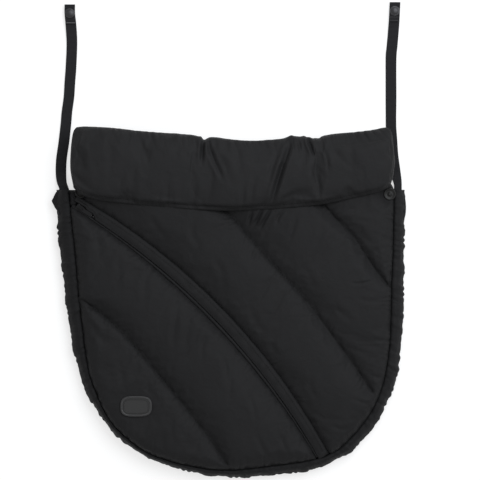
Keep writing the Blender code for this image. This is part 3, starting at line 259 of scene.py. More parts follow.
@dataclass(frozen=True)
class Pattern:
    """Plan of the cut pieces in the row frame. Shares are of half the body's width, and of its length."""

    half_width: float = 0.225
    length: float = 0.373
    origin: tuple[float, float] = (0.002137, -0.308485)
    pixel: float = 0.0013
    pixel_middle: tuple[float, float] = (228.86, 239.6)
    silhouette_shares: tuple = (
        (-1.003, 1.0), (-0.994, 0.843), (-0.968, 0.714), (-0.934, 0.547), (-0.884, 0.387),
        (-0.806, 0.268), (-0.679, 0.157), (-0.494, 0.073), (-0.321, 0.035), (-0.107, 0.004),
        (0.026, 0.0), (0.176, 0.004), (0.448, 0.024), (0.656, 0.073), (0.801, 0.157),
        (0.91, 0.268), (0.962, 0.352), (0.991, 0.512), (1.0, 0.721), (1.003, 0.923), (1.003, 1.0))
    seam_shares: tuple = (
        (-0.934, 1.0), (-0.899, 0.815), (-0.87, 0.624), (-0.824, 0.401), (-0.777, 0.303),
        (-0.697, 0.202), (-0.592, 0.136), (-0.465, 0.084), (-0.298, 0.05), (-0.13, 0.031),
        (0.038, 0.028), (0.24, 0.042), (0.408, 0.056), (0.517, 0.07), (0.61, 0.094),
        (0.72, 0.157), (0.812, 0.233), (0.876, 0.324), (0.91, 0.436), (0.922, 0.547),
        (0.925, 0.659), (0.934, 0.791), (0.939, 0.927), (0.942, 1.0))
    quilt_lower_shares: tuple = (
        (-0.855, 0.622), (-0.633, 0.512), (-0.384, 0.338), (-0.165, 0.174), (-0.02, 0.048))
    quilt_long_shares: tuple = (
        (-0.379, 1.132), (-0.028, 0.93), (0.194, 0.775), (0.425, 0.624), (0.592, 0.491),
        (0.702, 0.4), (0.777, 0.333), (0.815, 0.3))
    quilt_short_shares: tuple = (
        (0.286, 1.132), (0.564, 0.93), (0.62, 0.892), (0.708, 0.838), (0.775, 0.778), (0.841, 0.718),
        (0.915, 0.664))
    zip_head_share: tuple[float, float] = (-0.902, 0.96)
    zip_foot_share: tuple[float, float] = (0.526, 0.08)
    zip_bulge: float = 0.0294
    stud_left_share: tuple[float, float] = (-0.861, 0.992)
    stud_right_share: tuple[float, float] = (0.9165, 0.985)
    panel_top: float = 0.4367
    panel_top_left_share: float = -0.868
    panel_top_right_share: float = 0.864

    def place(self, share: Sequence[float]) -> Array:
        """Plan position of a point given in shares."""
        return np.array(self.origin) + (share[0] * self.half_width, share[1] * self.length)

    def seen(self, x: float, y: float) -> Array:
        """Plan position of a point given in pixels of the square view from above."""
        return np.array([(x - self.pixel_middle[0]) * self.pixel, (self.pixel_middle[1] - y) * self.pixel])

    def line(self, shares: Points, count: int) -> Array:
        """Smooth line through points given in shares."""
        return smooth_curve([self.place(s) for s in shares], count)

    def traced(self, points: Points, count: int = 16) -> Array:
        """Smooth line through points given in pixels of the view from above."""
        return smooth_curve([self.seen(*p) for p in points], count)


@dataclass(frozen=True)
class Levels:
    """Heights of the layers over the floor, in metres."""

    panel: float = 0.0173
    rim: float = 0.0224
    seam: float = 0.0243
    crown: float = 0.0343
    cuff: float = 0.0347
    cuff_crown: float = 0.0488


PATTERN = Pattern()
LEVELS = Levels()


class ZipArc:
    """The arc that the zip follows: offsets are positive towards the opening front."""

    HALF_WIDTHS = (0.0072, 0.01, 0.0075)

    def __init__(self) -> None:
        """Fit the arc through its two ends and its bulge."""
        start, end = PATTERN.place(PATTERN.zip_head_share), PATTERN.place(PATTERN.zip_foot_share)
        bulge = PATTERN.zip_bulge
        chord = end - start
        half = np.linalg.norm(chord) / 2
        self.radius = (half ** 2 + bulge ** 2) / (2 * bulge)
        away = np.array([-chord[1], chord[0]]) / (2 * half)
        self.centre = (start + end) / 2 - away * (self.radius - bulge)
        self.start_angle = math.atan2(*(start - self.centre)[::-1])
        self.length = (self.start_angle - math.atan2(*(end - self.centre)[::-1])) * self.radius

    def point(self, travel: float, offset: float) -> Array:
        """Plan position at a length of travel and an offset across the zip."""
        turn = self.start_angle - travel / self.radius
        return self.centre + (self.radius + offset) * np.array([math.cos(turn), math.sin(turn)])

    def half_width(self, travel: float) -> float:
        """Half the width of the strip between the two quilted panels.

        Args:
            travel: Distance along the zip.

        Returns:
            The half width, in metres.
        """
        share = travel / self.length
        head, middle, foot = self.HALF_WIDTHS
        base = head + (foot - head) * share
        return base + (middle - (head + foot) / 2) * math.sin(math.pi * share)

    def edge(self, side: int, count: int) -> Array:
        """One edge of the strip: side is -1 for the lower panel, +1 for the opening front."""
        travels = np.linspace(0, self.length, count)
        return np.array([self.point(s, side * self.half_width(s)) for s in travels])


ZIP = ZipArc()


# Finishes


def linear(hex_colour: str) -> tuple[float, float, float, float]:
    """Turn six hex digits of sRGB into linear red, green, blue and an alpha of 1."""
    values = [int(hex_colour[i:i + 2], 16) / 255 for i in (0, 2, 4)]
    return (*(v / 12.92 if v <= 0.04045 else ((v + 0.055) / 1.055) ** 2.4 for v in values), 1.0)


def set_inputs(tree: Tree, node: bpy.types.Node, inputs: dict[Any, Any]) -> None:
    """Fill in a shader node's inputs.

    Args:
        tree: The node's tree.
        node: The node.
        inputs: A value for each input, or an output socket to link to it.
    """
    for key, value in inputs.items():
        if isinstance(value, Socket):
            tree.links.new(value, node.inputs[key])
        else:
            node.inputs[key].default_value = value


def add_node(tree: Tree, kind: str, inputs: dict[Any, Any] | None = None, output: int | str = 0,
             **settings: Any) -> Socket:
    """Add a shader node.

    Args:
        tree: The node tree to add it to.
        kind: The node's type name without the word ShaderNode.
        inputs: A value or an output socket for each input.
        output: The output to return.
        settings: Values for the node's own properties.

    Returns:
        The socket of that output.
    """
    node = tree.nodes.new("ShaderNode" + kind)
    for key, value in settings.items():
        setattr(node, key, value)
    set_inputs(tree, node, inputs or {})
    return node.outputs[output]


def mixed(tree: Tree, share: Socket, low: Any, high: Any) -> Socket:
    """Mix two colours by a share."""
    return add_node(tree, "Mix", {0: share, 6: low, 7: high}, 2, data_type="RGBA")


def speckle(tree: Tree, place: Socket, size: float, **inputs: float) -> Socket:
    """Noise with features of a size, in metres."""
    return add_node(tree, "TexNoise", {"Vector": place, "Scale": 1 / size, **inputs}, "Fac")


def bands(tree: Tree, place: Socket, way: str, pitch: float, **inputs: float) -> Socket:
    """Waves along the axis X or Y that repeat at a pitch, in metres."""
    scale = 2 * math.pi / WAVE_RADIANS / pitch
    return add_node(tree, "TexWave", {"Vector": place, "Scale": scale, **inputs}, "Fac", bands_direction=way)


def spread(tree: Tree, share: Socket, low: float, high: float) -> Socket:
    """Turn a share into a value between two others."""
    return add_node(tree, "MapRange", {"Value": share, "To Min": low, "To Max": high}, "Result")


def relief(tree: Tree, height: Socket, depth: float, **inputs: Socket) -> Socket:
    """The normals of a surface with a texture's height pressed into it."""
    return add_node(tree, "Bump", {"Height": height, "Strength": 1.0, "Distance": depth, **inputs}, "Normal")


def new_material(name: str) -> tuple[bpy.types.Material, Tree, bpy.types.Node]:
    """Make an empty node material.

    Args:
        name: The material's name.

    Returns:
        The material, its node tree and its Principled shader.
    """
    made = bpy.data.materials.new(name)
    made.use_nodes = True
    return made, made.node_tree, made.node_tree.nodes["Principled BSDF"]


@dataclass(frozen=True)
class Finish:
    """What all finishes share: a name, and a dark and a pale tone that a texture mixes."""

    name: str
    colour: str
    pale: str

    def material(self) -> bpy.types.Material:
        """Build the finish's material, or return it if it is there.

        Returns:
            The material.
        """
        made = bpy.data.materials.get(self.name)
        if made is None:
            made, tree, shader = new_material(self.name)
            set_inputs(tree, shader, self.inputs(tree, add_node(tree, "TexCoord", output="Object")))
        return made

    def tone(self, tree: Tree, share: Socket) -> Socket:
        """The two tones, mixed by a share."""
        return mixed(tree, share, linear(self.colour), linear(self.pale))

    def inputs(self, tree: Tree, place: Socket) -> dict[str, Any]:
        """What the Principled shader is fed; each kind of finish has its own.

        Args:
            tree: The material's node tree.
            place: The Object coordinates.

        Returns:
            A value or a socket for each of the shader's inputs.
        """
        raise NotImplementedError


@dataclass(frozen=True)
class WovenCloth(Finish):
    """A woven cloth: two sets of threads, soft crinkles, and painted shade in the grooves where it is sewn
    down.
    """

    # The colour of the painted shade in the seam grooves, which the sewn attribute mixes in.
    sewn: str
    thread: float
    crinkle: float
    crinkle_depth: float
    weave_depth: float
    roughness: float
    sheen: float
    sheen_roughness: float = 0.45
    specular: float = 0.35

    def inputs(self, tree: Tree, place: Socket) -> dict[str, Any]:
        """Threads both ways under crinkles, and the painted shade of the seam grooves.

        Args:
            tree: The material's node tree.
            place: The Object coordinates.

        Returns:
            A value or a socket for each of the shader's inputs.
        """
        mottle = speckle(tree, place, self.crinkle * 4, Detail=3.0, Roughness=0.55)
        # The sewn attribute holds how much painted seam shade each vertex gets.
        seam = add_node(tree, "Attribute", output="Fac", attribute_name="sewn")
        crinkles = speckle(tree, place, self.crinkle, Detail=4.0, Roughness=0.6, Distortion=0.6)
        threads = [bands(tree, place, way, self.thread) for way in "XY"]
        weave = add_node(tree, "Math", dict(enumerate(threads)), operation="MULTIPLY")
        soft = relief(tree, crinkles, self.crinkle_depth)
        return {"Base Color": mixed(tree, seam, self.tone(tree, mottle), linear(self.sewn)),
                "Roughness": spread(tree, mottle, self.roughness - 0.06, self.roughness + 0.06),
                "Normal": relief(tree, weave, self.weave_depth, Normal=soft),
                "Sheen Weight": self.sheen, "Sheen Roughness": self.sheen_roughness,
                "Specular IOR Level": self.specular}


@dataclass(frozen=True)
class RibbedWebbing(Finish):
    """Flat polyester webbing: thick ribs across it, and finer ones along it."""

    rib: float = 0.0016
    warp: float = 0.0009
    depth: float = 0.00035

    def inputs(self, tree: Tree, place: Socket) -> dict[str, Any]:
        """Ribs that stand proud of the warp, with a painted highlight on their crowns.

        Args:
            tree: The material's node tree.
            place: The Object coordinates.

        Returns:
            A value or a socket for each of the shader's inputs.
        """
        ribs = bands(tree, place, "Y", self.rib, Distortion=0.4, Detail=1.0)
        cords = bands(tree, place, "X", self.warp)
        weave = add_node(tree, "Math", {0: ribs, 1: 0.7, 2: cords}, operation="MULTIPLY_ADD")
        return {"Base Color": self.tone(tree, ribs), "Normal": relief(tree, weave, self.depth),
                "Roughness": 0.62, "Sheen Weight": 0.04, "Specular IOR Level": 0.2}


@dataclass(frozen=True)
class HardFinish(Finish):
    """A moulded, enamelled or plated surface with light wear in its gloss."""

    metallic: float
    roughness: float
    grain: float = 0.0012
    depth: float = 0.00002
    coat: float = 0.0
    specular: float = 0.4

    def inputs(self, tree: Tree, place: Socket) -> dict[str, Any]:
        """A fine grain in the tone, the gloss and the surface.

        Args:
            tree: The material's node tree.
            place: The Object coordinates.

        Returns:
            A value or a socket for each of the shader's inputs.
        """
        grain = speckle(tree, place, self.grain, Detail=2.0)
        return {"Base Color": self.tone(tree, grain), "Normal": relief(tree, grain, self.depth),
                "Roughness": spread(tree, grain, self.roughness - 0.05, self.roughness + 0.07),
                "Metallic": self.metallic, "Coat Weight": self.coat, "Specular IOR Level": self.specular}


# In each woven cloth below, the third colour is the painted shade of its seam grooves.
# Taffeta nylon, calendered smooth: near black, with a soft broad sheen. Its threads are drawn coarser
# than the real 0.2 mm so that they show.
SHELL = WovenCloth("black_taffeta_nylon", "1b1b1c", "232324", "0a0a0a", 0.0008, 0.014, 0.0011, 0.00008,
                   0.62, 0.03, specular=0.14)
# The same nylon as the shell on the rolled top, painted a shade paler to stand in for the brighter light on
# the cuff.
CUFF_PAINTED_PALER = WovenCloth("black_taffeta_nylon_painted_paler", "1c1c1d", "252526", "0a0a0a", 0.0008, 0.014, 0.0011,
                       0.00008, 0.62, 0.03, specular=0.145)
# The same nylon, gathered: a little duller.
BAND = WovenCloth("black_gathered_nylon", "1a1a1b", "212122", "0a0a0a", 0.0008, 0.009, 0.0014, 0.00008,
                  0.64, 0.02, specular=0.12)
# Brushed fleece lining: matt, with a soft nap.
FLEECE = WovenCloth("charcoal_brushed_fleece", "29292b", "343437", "161617", 0.0022, 0.005, 0.0012, 0.0002,
                    0.95, 0.5, 0.6, 0.1)
# Zip tape: dense polyester twill, matt.
TAPE = WovenCloth("black_zip_tape", "131314", "1b1b1c", "0b0b0b", 0.0011, 0.01, 0.0002, 0.00015, 0.75, 0.1)
# Braided rubber elastic.
ELASTIC = WovenCloth("white_braided_elastic", "dad8d2", "e8e6e1", "c8c5be", 0.0012, 0.01, 0.0001, 0.0003,
                     0.85, 0.1)
# Polyester webbing, dull and closely ribbed.
WEBBING = RibbedWebbing("black_polyester_webbing", "1d1d1f", "2b2b2e")
# Spun polyester sewing thread, black on black cloth.
THREAD = HardFinish("black_polyester_thread", "101011", "181819", 0.0, 0.65, specular=0.12)
# The same thread in mid grey on the left strap's end, and in dark grey on the right one's.
GREY_THREAD = HardFinish("grey_polyester_thread", "6f6f70", "828283", 0.0, 0.6)
DARK_THREAD = HardFinish("dark_grey_polyester_thread", "3a3a3c", "48484a", 0.0, 0.6)
# Nylon coil: moulded, slightly glossy.
COIL = HardFinish("black_nylon_coil", "0e0e0f", "151516", 0.0, 0.4, specular=0.25)
# Black enamel on die-cast zinc.
ENAMEL = HardFinish("black_enamelled_zinc", "131314", "1b1b1c", 0.0, 0.5, coat=0.05, specular=0.16)
# Black enamel on the brass studs, worn a little.
STUD_ENAMEL = HardFinish("black_enamelled_brass", "191918", "232322", 0.1, 0.42, coat=0.05, specular=0.22)
# Gunmetal plating on the brass snaps of the straps: a soft, dark mirror.
GUNMETAL = HardFinish("gunmetal_plated_brass", "3a3a3c", "48484a", 0.7, 0.38)
# Moulded soft rubber, left bare.
RUBBER = HardFinish("charcoal_moulded_rubber", "2a2a2a", "343434", 0.0, 0.5, grain=0.0009, depth=0.00008,
                    specular=0.3)
# The same rubber on the badge's raised rim: glossier, and painted paler as a highlight where the rim stands
# proud.
RUBBER_RIM_HIGHLIGHT = HardFinish("charcoal_rubber_painted_highlight", "3e3e3f", "4a4a4b", 0.0, 0.36, grain=0.0009,
                        depth=0.00004)


# Making meshes


def publish(name: str, bm: bmesh.types.BMesh, finish: Finish, recalc: bool = True) -> Piece:
    """Turn a bmesh into a named object with its finish.

    Args:
        name: The piece's name.
        bm: The mesh, in the row frame. It is freed.
        finish: Its finish.
        recalc: Recalculate its normals to point outward.

    Returns:
        The new object.
    """
    if recalc:
        bmesh.ops.recalc_face_normals(bm, faces=bm.faces)
    mesh = bpy.data.meshes.new(name)
    bm.to_mesh(mesh)
    bm.free()
    made = bpy.data.objects.new(name, mesh)
    bpy.context.collection.objects.link(made)
    mesh.materials.append(finish.material())
    mesh.shade_smooth()
    return made


def rows_of(items: Any, name: str) -> Array:
    """A vector attribute of every item, one row each.

    Args:
        items: Vertices, faces or the like.
        name: The attribute's name.

    Returns:
        The rows.
    """
    flat = np.empty(len(items) * 3)
    items.foreach_get(name, flat)
    return flat.reshape(-1, 3)


def points_of(obj: Piece) -> Array:
    """The object's vertex places, one row each."""
    return rows_of(obj.data.vertices, "co")


def move_points(obj: Piece, places: Array) -> None:
    """Put the object's vertices at new places."""
    obj.data.vertices.foreach_set("co", places.ravel())
    obj.data.update()


def normals_of(obj: Piece) -> Array:
    """The object's vertex normals, one row each."""
    return rows_of(obj.data.vertex_normals, "vector")


def apply_modifiers(obj: Piece) -> None:
    """Replace the object's mesh by what its modifiers make of it.

    Args:
        obj: The object.
    """
    graph = bpy.context.evaluated_depsgraph_get()
    old = obj.data
    mesh = bpy.data.meshes.new_from_object(obj.evaluated_get(graph))
    obj.modifiers.clear()
    obj.data = mesh
    mesh.name = obj.name
    bpy.data.meshes.remove(old)


def subdivide(obj: Piece) -> None:
    """Apply one level of Subdivision Surface to the object.

    Args:
        obj: The object.
    """
    rounder = obj.modifiers.new("rounder", "SUBSURF")
    rounder.levels = rounder.render_levels = 1
    apply_modifiers(obj)


def paint_seam_shade(obj: Piece, painted_shade: Array) -> None:
    """Store the painted shade that falls in the seam grooves at each vertex, from 0 to 1, as the sewn
    attribute.
    """
    layer = obj.data.attributes.get("sewn") or obj.data.attributes.new("sewn", "FLOAT", "POINT")
    layer.data.foreach_set("value", np.clip(painted_shade, 0, 1))


def swept(rings: Array, caps: bool = True) -> bmesh.types.BMesh:
    """Skin a row of closed rings: a grid is rolled up, welded along its edge and capped.

    Args:
        rings: Ring points as an array of ring, point and coordinate.
        caps: Close the two ends.

    Returns:
        The skinned mesh.
    """
    count, size = rings.shape[:2]
    bm = bmesh.new()
    bmesh.ops.create_grid(bm, x_segments=size, y_segments=count - 1, size=1)
    for vert in bm.verts:
        i = round((vert.co.x + 1) / 2 * size) % size
        j = round((vert.co.y + 1) / 2 * (count - 1))
        vert.co = rings[j, i]
    bmesh.ops.remove_doubles(bm, verts=bm.verts, dist=1e-8)
    if caps:
        bmesh.ops.holes_fill(bm, edges=[e for e in bm.edges if e.is_boundary], sides=0)
    return bm


def stamped(shape: bmesh.types.BMesh, places: Sequence[Matrix]) -> bmesh.types.BMesh:
    """Repeat a small shape at many places.

    Args:
        shape: The shape. It is freed.
        places: The transform of each copy.

    Returns:
        All the copies in one mesh.
    """
    bmesh.ops.recalc_face_normals(shape, faces=shape.faces)
    master = bpy.data.meshes.new("master")
    shape.to_mesh(master)
    shape.free()
    bm = bmesh.new()
    for place in places:
        copy = master.copy()
        copy.transform(place)
        bm.from_mesh(copy)
        bpy.data.meshes.remove(copy)
    bpy.data.meshes.remove(master)
    return bm


def swell(obj: Piece, pinned: Array, pressure: float, slack: float, cap: float) -> None:
    """Blow the pad up with Blender's Cloth, held at its sewn places, and keep the shape.

    Args:
        obj: A closed mesh in the row frame.
        pinned: True for the vertices that stay.
        pressure: The Cloth pressure.
        slack: Share by which the cloth is cut larger than the place that it fills.
        cap: The furthest that a vertex may move, in metres.
    """
    start = points_of(obj)
    group = obj.vertex_groups.new(name="sewn_down")
    group.add([int(i) for i in np.nonzero(pinned)[0]], 1.0, "REPLACE")
    cloth = obj.modifiers.new("cloth", "CLOTH")
    rules = cloth.settings
    for name, value in {**CLOTH, "use_pressure": True, "uniform_pressure_force": pressure,
                        "shrink_min": -slack, "vertex_group_mass": group.name}.items():
        setattr(rules, name, value)
    rules.effector_weights.gravity = 0
    cloth.collision_settings.use_collision = False
    scene = bpy.context.scene
    for number in range(1, SIMULATION_FRAMES + 1):
        scene.frame_set(number)
    graph = bpy.context.evaluated_depsgraph_get()
    moved = rows_of(obj.evaluated_get(graph).to_mesh().vertices, "co")
    obj.modifiers.clear()
    obj.vertex_groups.clear()
    scene.frame_set(1)
    step = moved - start
    size = np.linalg.norm(step, axis=1)
    LOG.info("%s swells %.1f mm at most, %.1f mm on average", obj.name, size.max() * 1000, size.mean() * 1000)
    limit = cap * np.tanh(size / cap) / np.maximum(size, 1e-9)
    move_points(obj, start + step * limit[:, None])


@dataclass
class Crease:
    """A single fold pressed into a cloth, with a low ridge on either side."""

    path: Array
    depth: float = 0.0012
    width: float = 0.0022
    ridge: float = 0.35

    def height(self, points: Array) -> Array:
        """Height that the crease adds at plan points, in metres.

        Args:
            points: Plan points.

        Returns:
            The height at each point.
        """
        gap, along, _ = near_line(points, self.path)
        share = along / lengths(self.path)[-1]
        fade = np.sin(np.pi * np.clip(share, 0.02, 0.98)) ** 0.7
        valley = np.exp(-(gap / self.width) ** 2)
        banks = np.exp(-((gap - 2.1 * self.width) / (1.1 * self.width)) ** 2)
        return self.depth * fade * (self.ridge * banks - valley)


def creases(traces: Sequence[tuple[Points, float, float]], deeper: float = 1.0, wider: float = 1.0,
            ridge: float = 0.35) -> list[Crease]:
    """Make creases from their traces.

    Args:
        traces: For each crease, its path in pixels of the view from above, its depth and its width, in mm.
        deeper: What their depths are multiplied by.
        wider: What their widths are multiplied by.
        ridge: Height of their banks, as a share of their depth.

    Returns:
        The creases.
    """
    return [Crease(PATTERN.traced(path), deeper * depth * MM, wider * width * MM, ridge)
            for path, depth, width in traces]


@dataclass
class SewnLine:
    """A line sewn through the cloth: it lies low, and the cloth puckers away from it."""

    path: Array
    loft: float
    pucker: float = 0.0007
    pitch: float = 0.01
    reach: float = 0.022
    seed: int = 1
    shade: float = 1.0

    def darkness(self, points: Array, width: float) -> Array:
        """How dark the seam's shadow is at plan points, uneven along the seam.

        Args:
            points: Plan points, one a row.
            width: Half width of the shadow, in metres.

        Returns:
            A share from 0 to 1 for each point.
        """
        gap, along, _ = near_line(points, self.path)
        uneven = Ripple(self.seed + 7).at(along / 0.005, along * 0 + 0.5)
        return self.shade * (0.8 + 0.35 * uneven) * np.exp(-(gap / (width * (1 + 0.35 * uneven))) ** 2)

    def puckers(self, points: Array) -> Array:
        """Height that the puckers add at plan points, in metres.

        Args:
            points: Plan points.

        Returns:
            The height at each point.
        """
        gap, along, side = near_line(points, self.path)
        noise = Ripple(self.seed)
        lean = along + gap * 0.8 * noise.at(along / 0.04, side * 9.0)
        wide = 2 * np.abs(noise.at(lean / self.pitch, side * 17.0 + gap / (self.pitch * 6))) - 0.7
        fine = 2 * np.abs(noise.at(lean / self.pitch * 2.3, side * 5.0 + gap / (self.pitch * 4))) - 0.7
        near = self.reach * (0.55 + 0.75 * np.abs(noise.at(along / (self.pitch * 2), side * 31.0)))
        share = np.clip(gap / near, 0, 1)
        wave = wide * (1 - share) ** 1.2 + 0.55 * fine * (1 - np.clip(gap / near * 2, 0, 1)) ** 1.2
        return self.pucker * wave * np.clip(gap / 0.0022, 0, 1)


@dataclass
class QuiltedPad:
    """A quilted pad: cut to an outline, sewn along lines, filled, swollen and creased."""

    name: str
    outline: Array
    sewn: list[SewnLine]
    rim: SewnLine
    base: float = LEVELS.panel
    crown: float = LEVELS.crown
    run: float = 0.022
    spacing: float = 0.0034
    clear_of_rim: float = 0.3
    clear_of_lines: float = 0.55
    pressed: list[Array] = field(default_factory=list)
    pressed_radius: float = 0.0105
    pressed_level: float = LEVELS.seam
    pressed_ease: float = 0.014
    creases: list[Crease] = field(default_factory=list)
    pressure: float = 3.0
    slack: float = 0.008
    cap: float = 0.004
    rim_shadow: float = 0.0015
    seam_shadow: float = 0.0012
    billow: float = 0.0007
    fullness: float = 2.6
    shoulder: float = 0.62
    seed: int = 3
    finish: Finish = SHELL
    slot: str = "shell_nylon"
    downward: bool = False

    def cut(self) -> tuple[Array, list[tuple[int, ...]]]:
        """Cut the cloth: even triangles, with edges along the outline and the sewn lines.

        Returns:
            Plan points, and triangles as numbers of points.
        """
        points = [tuple(p) for p in self.outline]
        edges = []
        rim = closed(self.outline)
        for line in self.sewn:
            path = resample(line.path, max(3, int(lengths(line.path)[-1] / self.spacing)))
            kept = path[inside(path, self.outline)]
            kept = kept[near_line(kept, rim)[0] > self.spacing * self.clear_of_rim]
            first = len(points)
            points += [tuple(p) for p in kept]
            edges += [(first + i, first + i + 1) for i in range(len(kept) - 1)]
        low, high = self.outline.min(axis=0), self.outline.max(axis=0)
        step = self.spacing * math.sqrt(3) / 2
        rows = int((high[1] - low[1]) / step) + 1
        columns = int((high[0] - low[0]) / self.spacing) + 1
        grid = np.array([(low[0] + (r % 2) * self.spacing / 2 + c * self.spacing, low[1] + (r + 0.5) * step)
                         for r in range(rows) for c in range(columns)])
        grid = grid[inside(grid, self.outline)]
        clear = near_line(grid, rim)[0]
        for line in self.sewn:
            clear = np.minimum(clear, near_line(grid, line.path)[0])
        points += [tuple(p) for p in grid[clear > self.spacing * self.clear_of_lines]]
        found = delaunay_2d_cdt([Vector(p) for p in points], edges, [list(range(len(self.outline)))], 1, 1e-6)
        return np.array([(v.x, v.y) for v in found[0]]), [tuple(face) for face in found[2]]

    def heights(self, points: Array) -> Array:
        """Height of the filled cloth over its base: low on the sewn lines, full between them.

        Args:
            points: Plan points.

        Returns:
            The height at each point.
        """
        full = self.crown - self.base
        result = np.full(len(points), full)
        for line in [self.rim] + self.sewn:
            gap, _, _ = near_line(points, line.path)
            ease = 1 - np.clip(gap / self.run, 0, 1)
            rise = (1 - ease ** self.fullness) ** self.shoulder
            result = np.minimum(result, line.loft + (full - line.loft) * rise)
        for centre in self.pressed:
            gap = np.hypot(*(points - centre).T)
            level = self.pressed_level - self.base
            ease = np.clip((gap - self.pressed_radius) / self.pressed_ease, 0, 1)
            result = np.minimum(result, level + (full - level) * ease ** 0.6)
        return result

    def build(self) -> Piece:
        """Cut, fill, swell and crease the pad, and dress it.

        Returns:
            The pad.
        """
        points, faces = self.cut()
        heights = self.heights(points)
        sign = -1 if self.downward else 1
        bm = bmesh.new()
        tops = [bm.verts.new((x, y, self.base + sign * h)) for (x, y), h in zip(points, heights)]
        for face in faces:
            bm.faces.new([tops[i] for i in face])
        bmesh.ops.recalc_face_normals(bm, faces=bm.faces)
        if (sum(f.normal.z for f in bm.faces) > 0) == self.downward:
            bmesh.ops.reverse_faces(bm, faces=bm.faces)
        for share in (0.5, 1.0):
            rim = [e for e in bm.edges if e.is_boundary]
            grown = bmesh.ops.extrude_edge_only(bm, edges=rim)["geom"]
            for vert in (g for g in grown if isinstance(g, bmesh.types.BMVert)):
                vert.co.z = self.base + (vert.co.z - self.base) * (1 - share)
        self.close_back(bm)
        pad = publish(self.name, bm, self.finish)
        self.finish_pad(pad)
        return pad

    def close_back(self, bm: bmesh.types.BMesh) -> None:
        """Close the open rim with coarse, even triangles.

        Args:
            bm: The pad's mesh, open at its rim.
        """
        step = self.spacing * 4
        low, high = self.outline.min(axis=0), self.outline.max(axis=0)
        axes = [np.arange(low[k], high[k], step) for k in (0, 1)]
        grid = np.stack(np.meshgrid(*axes), axis=-1).reshape(-1, 2)
        grid = grid[inside(grid, self.outline)]
        grid = grid[near_line(grid, closed(self.outline))[0] > step * 0.5]
        points = [Vector(p) for p in np.vstack([self.outline, grid])]
        found = delaunay_2d_cdt(points, [], [list(range(len(self.outline)))], 1, 1e-6)
        backs = [bm.verts.new((v.x, v.y, self.base)) for v in found[0]]
        for face in found[2]:
            bm.faces.new([backs[i] for i in face])
        bmesh.ops.remove_doubles(bm, verts=[v for v in bm.verts if v.is_boundary], dist=1e-6)

    def finish_pad(self, pad: Piece) -> None:
        """Swell the pad, round it, and press the puckers and creases into its top.

        Args:
            pad: The pad.
        """
        places = points_of(pad)
        plan = places[:, :2]
        held = (near_line(plan, self.rim.path)[0] < 1e-5) | (np.abs(places[:, 2] - self.base) < 1e-5)
        for line in self.sewn:
            held |= near_line(plan, line.path)[0] < 2e-4
        for centre in self.pressed:
            held |= np.hypot(*(plan - centre).T) < self.pressed_radius + 0.002
        swell(pad, held, self.pressure, self.slack, self.cap)
        subdivide(pad)
        places = points_of(pad)
        plan = places[:, :2]
        free = np.clip((np.abs(places[:, 2] - self.base)) / 0.004, 0, 1)
        clear = near_line(plan, self.rim.path)[0]
        # Painted shade in the grooves along the rim and the quilting lines.
        painted_shade = self.rim.darkness(plan, self.rim_shadow)
        offset = self.rim.puckers(plan)
        for line in self.sewn:
            clear = np.minimum(clear, near_line(plan, line.path)[0])
            offset += line.puckers(plan)
            painted_shade = np.maximum(painted_shade, line.darkness(plan, self.seam_shadow))
        for centre in self.pressed:
            clear = np.minimum(clear, np.maximum(np.hypot(*(plan - centre).T) - self.pressed_radius, 0))
        noise = Ripple(self.seed)
        swing = noise.at(plan[:, 0] / 0.055, plan[:, 1] / 0.075) + 0.4 * noise.at(
            plan[:, 0] / 0.024 + 9, plan[:, 1] / 0.038)
        offset += self.billow * swing * np.clip(clear / 0.025, 0, 1)
        for crease in self.creases:
            offset += crease.height(plan) * np.clip(clear / 0.004, 0.15, 1)
        move_points(pad, places + normals_of(pad) * (offset * free)[:, None])
        paint_seam_shade(pad, painted_shade)


def surface_of(*pieces: Piece) -> Callable[[Array], Array]:
    """Make a function that drops plan points onto pieces from above.

    Args:
        pieces: The pieces that may be hit.

    Returns:
        A function from plan points to points on the surface, one row each.
    """
    trees = [BVHTree.FromPolygons(points_of(p).tolist(), [tuple(f.vertices) for f in p.data.polygons])
             for p in pieces]

    def drop(plan: Array) -> Array:
        """Drop plan points onto the pieces.

        Args:
            plan: Plan points.

        Returns:
            The place where each point lands.
        """
        found = []
        for x, y in plan:
            hits = [tree.ray_cast(Vector((x, y, DROP_HEIGHT)), Vector((0, 0, -1)))[0] for tree in trees]
            tops = [h.z for h in hits if h is not None]
            found.append((x, y, max(tops) if tops else LEVELS.seam))
        return np.array(found)

    return drop


@dataclass
class Stitching:
    """A run of sewing thread: short, slightly sunk stitches along a line."""

    name: str
    path: Array
    pitch: float = 0.0036
    stitch: float = 0.0027
    thickness: float = 0.0006

    def build(self) -> Piece:
        """Lay the stitches along the path.

        Returns:
            The stitching.
        """
        count = max(2, int(lengths(self.path)[-1] / self.pitch))
        line = resample(self.path, count * 2 + 1)
        size = Matrix.Diagonal((self.stitch / 2, self.thickness / 2, self.thickness / 2, 1))
        places = []
        for k in range(count):
            along = Vector(line[2 * k + 2] - line[2 * k]).normalized()
            turn = Vector((1, 0, 0)).rotation_difference(along).to_matrix().to_4x4()
            places.append(Matrix.Translation(Vector(line[2 * k + 1])) @ turn @ size)
        thread = bmesh.new()
        bmesh.ops.create_uvsphere(thread, u_segments=6, v_segments=4, radius=1)
        return publish(self.name, stamped(thread, places), THREAD, recalc=False)


# The front


@dataclass
class Half:
    """One half of the quilted front, and what its pad, its lining and its threads share."""

    label: str
    outline: Array
    quilting: dict[str, SewnLine]
    creases: list[Crease]
    nodes: tuple[str, ...]
    lining_nodes: tuple[str, ...]
    seed: int
    rim_seed: int
    press: dict[str, Any]
    studs: list[Array] = field(default_factory=list)
    opening: bool = False

    @property
    def sewn(self) -> list[SewnLine]:
        """Its quilting lines."""
        return list(self.quilting.values())


